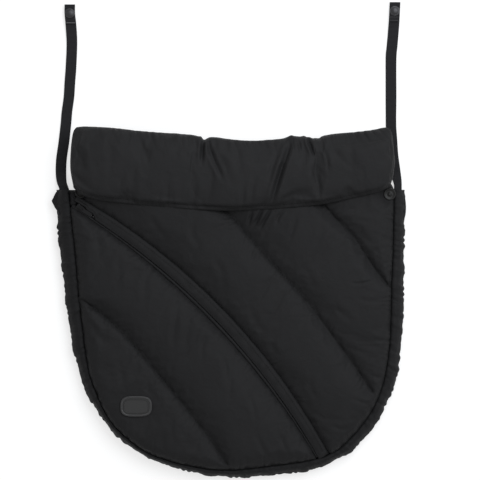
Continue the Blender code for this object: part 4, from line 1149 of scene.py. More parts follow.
@dataclass
class QuiltedFront:
    """The quilted front: a fixed lower left half, and an upper right half that opens."""

    stations: int = 120
    fold_foot: tuple[float, float] = (0.574, 0.084)
    fold_head: tuple[float, float] = (0.89, 0.965)
    fold_band: float = 0.015
    lower_traces: tuple = (
        ([(181, 296), (177, 312), (174, 334), (173, 350)], 1.1, 3.5),
        ([(194, 310), (188, 330), (186, 352)], 0.9, 3.5),
        ([(207, 330), (203, 345), (202, 362)], 0.7, 3),
        ([(222, 352), (226, 366), (228, 384)], 0.9, 3),
        ([(232, 368), (231, 382), (229, 400)], 0.8, 3),
        ([(246, 388), (252, 402), (256, 420)], 0.7, 2.8),
        ([(92, 222), (98, 236), (102, 262)], 0.8, 4),
        ([(150, 262), (146, 284), (145, 306)], 0.8, 4),
        ([(118, 250), (120, 270), (118, 292)], 0.7, 4),
        ([(88, 312), (96, 330), (108, 344)], 0.7, 3.5),
        ([(150, 372), (148, 392), (152, 410)], 0.8, 4),
        ([(118, 356), (122, 372), (124, 388)], 0.7, 4),
        ([(176, 408), (172, 428), (176, 446)], 0.8, 3.5),
        ([(256, 432), (262, 446), (268, 458)], 0.8, 3),
        ([(278, 430), (284, 444), (290, 456)], 0.7, 3))
    upper_traces: tuple = (
        ([(252, 210), (250, 218), (248, 226)], 2.4, 1.8),
        ([(262, 209), (258, 218), (254, 225)], 3, 1.8),
        ([(271, 209), (265, 219), (260, 228)], 3.2, 1.8),
        ([(284, 210), (278, 217), (276, 224)], 1.5, 2),
        ([(296, 216), (293, 228), (288, 242)], 1.1, 2.8),
        ([(324, 226), (320, 236), (314, 248)], 0.9, 3.5),
        ([(262, 246), (256, 252), (250, 262)], 0.9, 2.5),
        ([(350, 283), (360, 283), (374, 280)], 1.1, 1.6),
        ([(356, 298), (370, 301), (388, 299)], 0.7, 3),
        ([(372, 338), (382, 340), (392, 337)], 1, 2.2),
        ([(368, 374), (380, 377), (392, 373)], 1.2, 2.2),
        ([(352, 398), (366, 402), (378, 398)], 0.8, 2.5),
        ([(330, 424), (342, 428), (354, 424)], 0.8, 2.5),
        ([(150, 214), (156, 226), (166, 236)], 0.8, 3.5),
        ([(196, 216), (192, 232), (200, 248)], 0.8, 4),
        ([(214, 258), (222, 272), (224, 290)], 0.8, 4),
        ([(250, 306), (256, 322), (268, 336)], 0.8, 4),
        ([(276, 332), (272, 346), (280, 358)], 0.7, 3.5),
        ([(312, 372), (310, 386), (318, 400)], 0.7, 3.5),
        ([(300, 266), (310, 276), (312, 290)], 0.7, 4),
        ([(334, 300), (340, 312), (352, 320)], 0.7, 3.5))

    def seam_between(self, start: Array, end: Array) -> Array:
        """Points of the front seam between the places nearest to two points.

        Args:
            start: A point near the seam.
            end: Another one.

        Returns:
            The seam's points.
        """
        seam = PATTERN.line(PATTERN.seam_shares, 320)
        travel = lengths(seam)
        first, last = near_line(np.array([start, end]), seam)[1]
        count = max(8, int((last - first) / 0.004))
        wanted = np.linspace(first, last, count)
        return np.stack([np.interp(wanted, travel, seam[:, k]) for k in (0, 1)], axis=1)

    def lower_outline(self) -> Array:
        """Outline of the fixed lower left half.

        Returns:
            The outline.
        """
        edge = ZIP.edge(-1, self.stations)
        seam = self.seam_between(edge[0], edge[-1])
        return counter_clockwise(np.vstack([seam, edge[::-1][1:-1]]))

    def upper_outline(self) -> Array:
        """Outline of the upper right half, up to where it turns over into the cuff.

        Returns:
            The outline.
        """
        edge = ZIP.edge(+1, self.stations)
        top = PATTERN.origin[1] + PATTERN.panel_top
        right = np.array([PATTERN.place((PATTERN.panel_top_right_share, 0))[0], top])
        left = np.array([PATTERN.place((PATTERN.panel_top_left_share, 0))[0], top])
        seam = self.seam_between(edge[-1], PATTERN.place((0.942, 1.0)))
        shoulder = [seam[-1], PATTERN.place((0.925, 1.022)), PATTERN.place((0.88, 1.045)), right]
        sides = [resample(np.array(shoulder), 22)[1:], resample(np.array([right, left]), 100)[1:],
                 resample(np.array([left, edge[0]]), 22)[1:-1]]
        return counter_clockwise(np.vstack([edge, seam[1:]] + sides))

    def quilting(self, shares: Points, seed: int) -> SewnLine:
        """One quilting line."""
        return SewnLine(PATTERN.line(shares, 90), 0.0084, 0.0009, 0.007, 0.026, seed, 0.9)

    def attach(self, piece: Piece, half: Half) -> Piece:
        """Let a piece ride on the muff; a piece of the half that opens only has its place baked into its
        mesh.

        Args:
            piece: The piece.
            half: The half that it belongs to.

        Returns:
            The same piece.
        """
        if half.opening:
            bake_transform(piece)
        else:
            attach(piece, Body.MUFF.value)
        return piece

    def pad(self, half: Half) -> Piece:
        """The quilted pad of one half.

        Args:
            half: Which half.

        Returns:
            The pad.
        """
        rim = SewnLine(closed(half.outline), LEVELS.rim - LEVELS.panel, 0.0009, 0.0065, 0.022,
                       half.rim_seed, 0.12)
        pad = QuiltedPad("quilted_front_" + half.label, half.outline, half.sewn, rim, creases=half.creases,
                         seed=half.seed, **half.press).build()
        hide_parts(*half.nodes)
        return self.attach(pad, half)

    def lining(self, half: Half) -> Piece:
        """The fleece lining of one half, quilted with it and bulging a little downward.

        Args:
            half: Which half.

        Returns:
            The lining.
        """
        edge = inset(half.outline, 0.0003)
        lines = [SewnLine(line.path, 0.0008, 0.0003, 0.012, 0.02, line.seed) for line in half.sewn]
        rim = SewnLine(closed(edge), 0.0008, 0.0003, 0.012, 0.02, 41)
        pad = QuiltedPad("fleece_lining_" + half.label, edge, lines, rim, base=LEVELS.panel - 0.0001,
                         crown=LEVELS.panel + 0.0036, run=0.02, spacing=0.0055, pressed=half.studs,
                         pressed_level=LEVELS.panel + 0.0022, pressure=0.8, slack=0.02, cap=0.0012,
                         billow=0.0004, seed=43, finish=FLEECE, slot="lining_fleece", downward=True).build()
        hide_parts(*half.lining_nodes)
        return self.attach(pad, half)

    def thread(self, name: str, line: SewnLine, pad: Piece, half: Half) -> Piece:
        """A quilting thread, lying in its seam."""
        path = surface_of(pad)(resample(line.path, 160)[2:-2])
        return self.attach(Stitching("quilt_thread_" + name, path + THREAD_LIFT).build(), half)

    def build(self) -> list[Piece]:
        """Make both halves, their linings and their quilting threads.

        Returns:
            All the pieces of the front.
        """
        studs = [PATTERN.place(share) for share in (PATTERN.stud_left_share, PATTERN.stud_right_share)]
        seat = {"pressed": [PATTERN.place(RubberBadge.place_share)], "pressed_radius": 0.0205,
                "pressed_level": 0.0337}
        lower = Half("lower", self.lower_outline(), {"lower": self.quilting(PATTERN.quilt_lower_shares, 11)},
                     creases(self.lower_traces), ("front_panel_lower", "wadding_lower"), ("lining_lower",),
                     31, 21, seat)
        quilting = {"long": self.quilting(PATTERN.quilt_long_shares, 12),
                    "short": self.quilting(PATTERN.quilt_short_shares, 13)}
        upper = Half("opening", self.upper_outline(), quilting, creases(self.upper_traces),
                     ("front_panel_flap", "front_panel_side", "wadding_flap", "wadding_side"),
                     ("lining_flap", "lining_side"), 32, 22, {"pressed": studs}, studs, True)
        halves = [lower, upper]
        pads = [self.pad(half) for half in halves]
        linings = [self.lining(half) for half in halves]
        threads = [self.thread(name, line, pad, half)
                   for half, pad in zip(halves, pads) for name, line in half.quilting.items()]
        return pads + linings + threads


# The band and hem


@dataclass
class GatheredBand:
    """The side band: sewn to the front, round the edge and in under the back to the elastic hem."""

    stations: int = 640
    thickness: float = 0.003
    middle: float = 0.011
    corner: float = 0.01
    back: float = 0.031
    casing: float = 0.013
    casing_height: float = 0.006
    gather: float = 0.001
    pitch: float = 0.007
    hem_gather: float = 0.16
    hem_pitch: float = 0.0055

    def frames(self, count: int) -> tuple[Array, Array, Array, Array]:
        """Seam points, outward directions, visible widths and travel round the edge.

        Args:
            count: How many stations.

        Returns:
            Those four, with a row for each station.
        """
        seam = resample(PATTERN.line(PATTERN.seam_shares, 48), count)
        rim = resample(PATTERN.line(PATTERN.silhouette_shares, 48), count)
        width = np.linalg.norm(rim - seam, axis=1)
        return seam, (rim - seam) / width[:, None], width, lengths(rim)

    def section(self, width: float) -> Array:
        """Section of the band as (distance out from the seam, height), a closed ring.

        Args:
            width: Visible width there.

        Returns:
            The ring's points.
        """
        top, low, thick = LEVELS.seam, LEVELS.rim - 0.001, self.thickness
        turn, span = width - self.corner, self.back - self.corner
        ring = [(0.0002, low), (0.0005, low + 0.0012), (width * 0.14, top - 0.0006), (width * 0.3, top),
                (width * 0.5, top - 0.0012), (width * 0.7, top - 0.0042), (width * 0.87, top - 0.0082),
                (width * 0.97, self.middle + 0.0022), (width, self.middle),
                (width - 0.0003, self.middle - 0.0034), (width - 0.0028, 0.0035), (width - 0.0064, 0.0009),
                (turn, 0.0)]
        ring += [(turn - span * share, 0.0) for share in (0.33, 0.66, 1.0)]
        ring += [(width - self.back, thick)]
        ring += [(turn - span * share, thick) for share in (0.6, 0.2)]
        ring += [(width - 0.007, thick + 0.002), (width - thick - 0.0012, self.middle - 0.002),
                 (width - thick - 0.001, self.middle + 0.003), (width * 0.62, top - 0.0085),
                 (width * 0.3, top - 0.006), (0.0008, top - 0.0065)]
        return np.array(ring)

    def build(self) -> list[Piece]:
        """Make the band and the casing of its elastic.

        Returns:
            The band and the casing.
        """
        seam, out, width, travel = self.frames(self.stations)
        noise, deep = Ripple(51), Ripple(52)
        rings = []
        for k in range(self.stations):
            ring = self.section(width[k])
            n = len(ring)
            place = np.full(n, travel[k] / self.pitch)
            wave = 2.4 * np.abs(noise.at(place, np.arange(n) / 9.0)) - 0.7
            wave += 0.6 * noise.at(place * 2.3, np.arange(n) / 6.0)
            slow = deep.at(place / 3.5, np.arange(n) / 12.0)
            outer = np.array([0.15, 0.5, 1, 1, 1, 1, 1.1, 1.1, 1.0, 0.8, 0.5, 0.15] + [0.0] * (n - 12))
            centre = np.array([width[k] * 0.35, self.middle])
            away = ring - centre
            away /= np.maximum(np.linalg.norm(away, axis=1), 1e-9)[:, None]
            ring = ring + away * ((wave * self.gather + slow * self.gather * 0.8) * outer)[:, None]
            ring[:, 1] = np.maximum(ring[:, 1], 0.0)
            rings.append([(*(seam[k] + out[k] * u), z) for u, z in ring])
        band = publish("gathered_side_band", swept(np.array(rings)), BAND)
        plan = points_of(band)
        gap = near_line(plan[:, :2], PATTERN.line(PATTERN.seam_shares, 320))[0]
        # Painted shade in the groove where the band meets the front.
        paint_seam_shade(band, 0.15 * np.exp(-(gap / 0.0012) ** 2) * (plan[:, 2] > self.middle))
        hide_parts("side_band")
        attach(band, Body.MUFF.value)
        return [band, self.build_casing()]

    def build_casing(self) -> Piece:
        """The elastic casing along the back opening, drawn up in tight gathers.

        Returns:
            The casing.
        """
        count = self.stations + 200
        seam, out, width, travel = self.frames(count)
        noise = Ripple(55)
        rings = []
        steps = 14
        turns = np.linspace(0, 2 * math.pi, steps, endpoint=False)
        for k in range(count):
            middle = width[k] - self.back - self.casing / 2 - 0.0002
            wave = noise.at(np.full(steps, travel[k] / self.hem_pitch), turns * 1.2)
            reach = 1 + self.hem_gather * wave
            u = middle + self.casing / 2 * np.sign(np.cos(turns)) * np.abs(np.cos(turns)) ** 0.7
            z = self.casing_height / 2 * (1 + reach * np.sin(turns))
            rings.append([(*(seam[k] + out[k] * a), max(b, 0.0)) for a, b in zip(u, z)])
        casing = publish("gathered_hem_casing", swept(np.array(rings)), BAND)
        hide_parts("hem_casing")
        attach(casing, Body.MUFF.value)
        return casing


# The cuff


@dataclass
class RolledCuff:
    """The top of the front, rolled over and folded down as a soft padded cuff."""

    width: float = 0.421
    depth: float = 0.104
    shift: float = 0.0032
    fold: float = 0.0767
    columns: int = 240
    base: float = LEVELS.cuff
    crown: float = LEVELS.cuff_crown
    pressure: float = 1.5
    slack: float = 0.04
    cap: float = 0.003
    billow: float = 0.001
    shaded_end: float = 0.005
    top: tuple = (
        (-0.963, 0.042), (-0.883, 0.048), (-0.605, 0.006), (-0.4, -0.026), (-0.25, -0.052),
        (-0.172, -0.092), (-0.1, -0.078), (0.074, -0.119), (0.22, -0.112), (0.3, -0.098),
        (0.338, -0.076), (0.359, -0.058), (0.385, -0.068), (0.415, -0.076), (0.438, -0.063),
        (0.468, -0.086), (0.481, -0.104), (0.504, -0.092), (0.528, -0.098), (0.551, -0.068),
        (0.635, -0.04), (0.753, -0.022), (0.86, 0.004), (0.92, 0.03), (0.945, 0.041))
    hem: tuple = (
        (-0.98, -0.72), (-0.892, -0.838), (-0.722, -0.9), (-0.401, -0.963), (-0.167, -0.995),
        (0.043, -1.0), (0.358, -0.97), (0.593, -0.908), (0.833, -0.8), (0.964, -0.71))
    left: tuple = (
        (-0.963, 0.042), (-0.981, 0.0), (-0.988, -0.0625), (-0.997, -0.2375), (-1.0, -0.4875),
        (-0.98, -0.72))
    right: tuple = (
        (0.945, 0.041), (0.968, 0.014), (0.978, -0.03), (0.991, -0.281), (0.996, -0.4), (0.985, -0.569),
        (0.974, -0.66), (0.964, -0.71))
    traces: tuple = (
        ([(205, 134), (203, 148), (202, 164)], 2.4, 2.6),
        ([(206, 136), (213, 158), (223, 180)], 1.7, 3),
        ([(293, 138), (287, 152), (281, 170), (275, 190), (271, 206)], 3, 3.6),
        ([(280, 150), (272, 168), (269, 184)], 0.8, 4),
        ([(305, 136), (310, 146), (314, 158)], 2.4, 2.4),
        ([(322, 150), (326, 160), (327, 172)], 0.8, 3),
        ([(314, 164), (314, 180), (317, 196)], 0.6, 5),
        ([(297, 138), (299, 146), (300, 154)], 0.7, 2),
        ([(240, 142), (238, 158), (241, 176)], 0.5, 6),
        ([(136, 166), (134, 182), (135, 200)], 0.5, 5),
        ([(170, 176), (168, 190), (169, 206)], 0.5, 5),
        ([(196, 184), (194, 198), (195, 210)], 0.6, 4),
        ([(108, 138), (112, 156), (110, 176)], 0.4, 6),
        ([(244, 186), (243, 200), (242, 210)], 0.7, 3.6),
        ([(352, 138), (350, 154), (353, 176)], 0.4, 6),
        ([(256, 176), (252, 192), (251, 208)], 0.6, 3.6))

    def place(self, share: Sequence[float]) -> Array:
        """Plan position of a point given in shares of half the cuff's width, and of its depth."""
        return np.array([PATTERN.origin[0] + self.shift + share[0] * self.width / 2,
                         PATTERN.origin[1] + PATTERN.length + self.fold + share[1] * self.depth])

    def edges(self) -> tuple[Array, ...]:
        """The cuff's four edges in plan: fold, hem, left and right."""
        return tuple(smooth_curve([self.place(p) for p in edge], 200)
                     for edge in (self.top, self.hem, self.left, self.right))

    def patch(self, u: Array, w: Array) -> Array:
        """Plan position across the cuff.

        Args:
            u: Share of the way from the left end to the right end.
            w: Share of the way from the fold to the hem.

        Returns:
            The plan points.
        """
        top, hem, left, right = self.edges()

        def on(line: Array, t: Array) -> Array:
            """Points on a line at shares of its length."""
            grid = np.linspace(0, 1, len(line))
            return np.stack([np.interp(t, grid, line[:, k]) for k in (0, 1)], axis=-1)

        u, w = u[..., None], w[..., None]
        ruled = (1 - w) * on(top, u[..., 0]) + w * on(hem, u[..., 0])
        sides = (1 - u) * on(left, w[..., 0]) + u * on(right, w[..., 0])
        corners = ((1 - u) * (1 - w) * top[0] + u * (1 - w) * top[-1]
                   + (1 - u) * w * hem[0] + u * w * hem[-1])
        return ruled + sides - corners

    def section(self) -> tuple[Array, Array, Array]:
        """The rolled section.

        Returns:
            Distance in from the fold, share of the way to the hem that goes with it, and height.
        """
        ring = [(0.03, 0, 0.0147), (0.02, 0, 0.0147), (0.011, 0, 0.0155), (0.005, 0, 0.0185),
                (0.0015, 0, 0.0235), (0.0, 0, 0.0295), (0.0012, 0, 0.035), (0.0045, 0, 0.0398),
                (0.0095, 0, 0.0432), (0.016, 0, 0.0456)]
        shares = np.linspace(0.22, 0.9, 22)
        for share in shares:
            dome = 1 - abs((share - 0.52) / 0.62) ** 2.6
            ring.append((0, share, self.base + 0.005 + (self.crown - self.base - 0.005) * dome))
        ring += [(-0.006, 1, 0.0415), (-0.0028, 1, 0.04), (-0.0008, 1, 0.0384), (0, 1, 0.0368),
                 (-0.0012, 1, 0.0352), (-0.004, 1, 0.0347), (-0.01, 1, 0.0347)]
        ring += [(0, share, self.base) for share in (0.75, 0.55, 0.35, 0.2)]
        ring += [(0.013, 0, 0.034), (0.0095, 0, 0.0318), (0.0085, 0, 0.0292), (0.01, 0, 0.0266),
                 (0.015, 0, 0.0252), (0.03, 0, 0.025)]
        rows = np.array(ring)
        return rows[:, 0], rows[:, 1], rows[:, 2]

    def build(self) -> list[Piece]:
        """Make the cuff and its hem stitching.

        Returns:
            The cuff and its stitching.
        """
        ease = np.linspace(0, 1, self.columns)
        u = ease - 0.035 * np.sin(2 * np.pi * ease)
        inward, share, height = self.section()
        top, hem, _, _ = self.edges()
        depth = np.interp(u, np.linspace(0, 1, len(top)), top[:, 1] - hem[:, 1])
        w = share[None, :] + inward[None, :] / depth[:, None]
        plan = self.patch(np.repeat(u[:, None], len(inward), axis=1), w)
        end_gap = np.minimum(u, 1 - u) * self.width
        taper = np.sqrt(1 - (1 - np.clip(end_gap / 0.016, 0, 1)) ** 2)
        level = np.tile(height, (self.columns, 1))
        over = level > self.base + 0.0005
        floor = self.base + 0.003
        tapered = np.maximum(floor + (level - floor) * taper[:, None], np.minimum(level, floor))
        level = np.where(over, tapered, level)
        rings = np.concatenate([plan, level[..., None]], axis=2)
        cuff = publish("rolled_cuff", swept(rings), CUFF_PAINTED_PALER)
        self.crumple(cuff)
        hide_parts("cuff", "wadding_cuff", "cuff_backing")
        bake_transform(cuff)
        return [cuff, self.hem_thread(cuff)]

    def crumple(self, cuff: Piece) -> None:
        """Swell the cuff, press its gathers and folds into it, and paint shade along its hem and on its steep
        end walls.

        Args:
            cuff: The cuff.
        """
        top, hem, _, _ = self.edges()
        places = points_of(cuff)
        hem_gap = near_line(places[:, :2], hem)[0]
        ends = [smooth_curve([self.place(p) for p in edge], 60) for edge in (self.left, self.right)]
        end_gap = np.minimum(near_line(places[:, :2], ends[0])[0], near_line(places[:, :2], ends[1])[0])
        held = (places[:, 2] < self.base + 0.0012) | (hem_gap < 0.004) | (end_gap < 0.004)
        swell(cuff, held, self.pressure, self.slack, self.cap)
        subdivide(cuff)
        places = points_of(cuff)
        plan = places[:, :2]
        free = np.clip((places[:, 2] - self.base - 0.001) / 0.004, 0, 1)
        fold_free = np.clip((places[:, 2] - 0.02) / 0.008, 0, 1) * (near_line(plan, top)[0] < 0.012)
        fold = SewnLine(top, 0, 0.0013, 0.01, 0.034, 61)
        edge = SewnLine(hem, 0, 0.0009, 0.01, 0.026, 62)
        noise = Ripple(63)
        swing = noise.at(plan[:, 0] / 0.05, plan[:, 1] / 0.06) + 0.5 * noise.at(
            plan[:, 0] / 0.02 + 5, plan[:, 1] / 0.045)
        offset = fold.puckers(plan) + edge.puckers(plan) + self.billow * swing
        for crease in creases(self.traces, 1.8, 0.85, 0.32):
            offset += crease.height(plan)
        end_gap = np.minimum(near_line(plan, ends[0])[0], near_line(plan, ends[1])[0])
        offset *= np.clip(end_gap / 0.008, 0.2, 1)
        move_points(cuff, places + normals_of(cuff) * (offset * np.maximum(free, fold_free))[:, None])
        # Painted shade: a dark line along the low edge of the hem, and darkening of the steep walls near the
        # cuff's ends.
        painted_shade = 0.5 * np.exp(-(near_line(plan, hem)[0] / 0.0016) ** 2)
        painted_shade *= places[:, 2] < self.base + 0.004
        steep_wall_shade = np.clip((0.55 - np.abs(normals_of(cuff)[:, 2])) / 0.55, 0, 1)
        steep_wall_shade *= np.exp(-(end_gap / self.shaded_end) ** 2)
        paint_seam_shade(cuff, np.maximum(painted_shade, 0.8 * steep_wall_shade))

    def hem_thread(self, cuff: Piece) -> Piece:
        """The stitching just above the cuff's hem.

        Args:
            cuff: The cuff.

        Returns:
            The stitching.
        """
        drop = surface_of(cuff)
        grid = np.linspace(0.03, 0.97, 150)
        w = np.full_like(grid, 1.0) - 0.0065 / self.depth
        thread = Stitching("cuff_hem_thread", drop(self.patch(grid, w)) + THREAD_LIFT).build()
        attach(thread, Body.CUFF.value)
        return thread


# The zip


# The body and the label of each side of the zip: -1 for the lower panel, +1 for the opening front.
ZIP_SIDES = {-1: (Body.MUFF, "lower"), 1: (Body.FLAP, "flap")}


@dataclass
class DiagonalZip:
    """The hidden zip: tapes, coils, the lower facing and the guard that covers the coils."""

    coil_offset: float = -0.0035
    coil_width: float = 0.0022
    coil_base: float = 0.0214
    coil_height: float = 0.002
    tooth_pitch: float = 0.0016
    tape_base: float = 0.0203
    foot: float = 0.013
    guard_head: float = 0.03
    guard_edge: float = -0.0056
    lead_in: tuple = ((0.018, 0.02, 0.03, 0.037), (0.0013, -0.0004, -0.0004, -0.0056))
    sewn_in: float = 0.0014

    def strip(self, name: str, start: float, end: float, count: int,
              section: Callable[[float], Points], finish: Finish,
              body: Body) -> Piece:
        """Sweep a section along the zip.

        Args:
            name: The piece's name.
            start: Travel at which it starts.
            end: Travel at which it ends.
            count: How many sections it has.
            section: Gives the closed section, as (offset, height), at a travel.
            finish: Its finish.
            body: The body that it rides on.

        Returns:
            The piece.
        """
        rings = []
        for travel in np.linspace(start, end, count):
            rings.append([(*ZIP.point(travel, offset), height) for offset, height in section(travel)])
        piece = publish(name, swept(np.array(rings)), finish)
        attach(piece, body.value)
        return piece

    def tape(self, side: int) -> Piece:
        """One half's tape, with a thicker woven edge beside the coil.

        Args:
            side: -1 for the lower half, +1 for the opening one.

        Returns:
            The tape.
        """
        body, label = ZIP_SIDES[side]
        low = self.tape_base

        def section(travel: float) -> Points:
            """Flat tape with a beaded inner edge.

            Args:
                travel: Distance along the zip.

            Returns:
                The section's points.
            """
            near = self.coil_offset + side * 0.00005
            far = side * (ZIP.half_width(travel) + self.sewn_in)
            span = far - near
            shares = [(0, 0.0001), (0.06, 0), (0.9, 0), (1, 0.0001), (1, 0.0007), (0.9, 0.0008),
                      (0.3, 0.0008), (0.06, 0.0009), (0, 0.0008)]
            return [(near + span * s, low + h) for s, h in shares]

        piece = self.strip("zip_tape_%s_twill" % label, 0.001 if side < 0 else 0.0095, ZIP.length - self.foot,
                           140, section, TAPE, body)
        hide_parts("zip_tape_" + label)
        return piece

    def coil(self, side: int) -> Piece:
        """One half's coil: a row of moulded loops that interlock with the other half's.

        Args:
            side: -1 for the lower half, +1 for the opening one.

        Returns:
            The coil.
        """
        body, label = ZIP_SIDES[side]
        start = 0.006 if side < 0 else 0.0128
        count = int((ZIP.length - self.foot - start) / self.tooth_pitch)
        size = Matrix.Diagonal((self.coil_width / 2 * 1.25, self.tooth_pitch * 0.36, self.coil_height / 2, 1))
        places = []
        for k in range(count):
            travel = start + (k + (0.5 if side > 0 else 0.0)) * self.tooth_pitch
            middle = ZIP.point(travel, self.coil_offset + side * self.coil_width / 2 * 0.9)
            turn = Matrix.Rotation(ZIP.start_angle - travel / ZIP.radius, 4, "Z")
            places.append(Matrix.Translation((*middle, self.coil_base + self.coil_height / 2)) @ turn @ size)
        tooth = bmesh.new()
        bmesh.ops.create_uvsphere(tooth, u_segments=6, v_segments=4, radius=1)
        piece = publish("zip_teeth_" + label, stamped(tooth, places), COIL, recalc=False)
        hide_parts("zip_coil_" + label)
        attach(piece, body.value)
        return piece

    def facing(self) -> Piece:
        """The narrow turned edge of the lower panel beside the coil.

        Returns:
            The facing.
        """
        noise = Ripple(71)

        def section(travel: float) -> Points:
            """A soft rounded welt.

            Args:
                travel: Distance along the zip.

            Returns:
                The section's points.
            """
            far = -ZIP.half_width(travel) - self.sewn_in
            near = self.guard_edge + 0.0005
            wave = 0.0003 * float(noise.at(np.array([travel / 0.009]), np.array([0.5]))[0])
            low, high = 0.0212, 0.0252 + wave
            span = near - far
            return [(far, low), (far + span * 0.1, high - 0.0014), (far + span * 0.3, high - 0.0003),
                    (far + span * 0.55, high), (far + span * 0.76, high - 0.0006),
                    (near - 0.0008, high - 0.0013), (near, high - 0.0022), (near - 0.0004, low)]

        piece = self.strip("zip_facing_lower", 0.002, ZIP.length - 0.001, 200, section, SHELL,
                           Body.MUFF)
        return piece

    def guard(self) -> Piece:
        """The guard: a folded, lightly filled flap sewn to the opening front, over the coils.

        Returns:
            The guard.
        """
        noise = Ripple(72)

        def section(travel: float) -> Points:
            """A low dome that dips to its seam, with a folded free edge.

            Args:
                travel: Distance along the zip.

            Returns:
                The section's points.
            """
            near = float(np.interp(travel, self.lead_in[0], self.lead_in[1]))
            far = ZIP.half_width(travel) + self.sewn_in
            span = far - near
            place = np.array([travel / 0.012, travel / 0.02, travel / 0.035])
            one, two, three = noise.at(place, np.array([0.3, 4.4, 8.8]))
            sunk = 0.003 * float(np.interp(travel, [ZIP.length - 0.001, ZIP.length + 0.003], [0, 1])) ** 1.5
            top = 0.0268 + 0.0005 * one
            ring = [(near + 0.0004, 0.0242), (near - 0.0003 + 0.0004 * two, 0.025), (near, 0.026),
                    (near + 0.001, 0.0268 + 0.0003 * one), (near + 0.0022, 0.0265),
                    (near + 0.0036, top + 0.0004), (near + span * 0.45, top + 0.0006 + 0.0004 * two),
                    (near + span * 0.62, top + 0.0002 * three), (near + span * 0.74, 0.0262),
                    (near + span * 0.84, 0.0266 + 0.0004 * three), (far, 0.0244), (far, 0.0236),
                    (near + span * 0.75, 0.0244), (near + span * 0.4, 0.024)]
            return [(offset, height - sunk) for offset, height in ring]

        piece = self.strip("zip_guard_flap", 0.0004, ZIP.length + 0.003, 270, section, SHELL,
                           Body.FLAP)
        plan = points_of(piece)[:, :2]
        # Painted shade along the guard's seam with the opening front and in its three stitch grooves.
        darkness = 0.3 * np.exp(-(near_line(plan, ZIP.edge(+1, 160))[0] / 0.0012) ** 2)
        for share, shade in ((0.36, 0.6), (0.54, 0.55), (0.72, 0.75)):
            line = SewnLine(self.row(share), 0, seed=75, shade=shade)
            darkness = np.maximum(darkness, line.darkness(plan, 0.0008))
        paint_seam_shade(piece, darkness)
        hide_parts("zip_guard")
        return piece

    def row(self, share: float, inward: float = 0.0, head: float = 0.006) -> Array:
        """A row of stitching along the guard.

        Args:
            share: Where it lies across the guard, from its free edge to its seam.
            inward: Distance further in from there.
            head: Travel from the guard's head at which it starts.

        Returns:
            The row's points in plan.
        """
        travels = np.linspace(self.guard_head + head, ZIP.length - 0.003, 150)
        near = self.guard_edge
        return np.array([ZIP.point(s, near + inward + share * (ZIP.half_width(s) - near)) for s in travels])

    def threads(self, guard: Piece) -> list[Piece]:
        """The two rows of stitching along the guard.

        Args:
            guard: The guard.

        Returns:
            The two rows.
        """
        drop = surface_of(guard)
        made = []
        for name, plan in (("zip_guard_thread_edge", self.row(0.0, 0.0024, 0.03)),
                           ("zip_guard_thread_seam", self.row(0.72))):
            thread = Stitching(name, drop(plan) + THREAD_LIFT, pitch=0.0032, stitch=0.0024,
                               thickness=0.0005).build()
            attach(thread, Body.FLAP.value)
            made.append(thread)
        return made

    def build(self) -> list[Piece]:
        """Make the zip's cloth pieces and coils, and enamel its metal ones.

        Returns:
            The zip's pieces.
        """
        guard = self.guard()
        made = [self.tape(-1), self.tape(1), self.coil(-1), self.coil(1), self.facing(), guard]
        made += self.threads(guard)
        for name in ("zip_slider", "zip_pull", "zip_top_stop_lower", "zip_top_stop_flap", "zip_bottom_stop"):
            dress(name, ENAMEL)
        return made


def dress(name: str, finish: Finish) -> None:
    """Give a CAD node, known by its name, a finish."""
    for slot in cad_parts[name].material_slots:
        slot.material = finish.material()


# Straps, snaps and badge


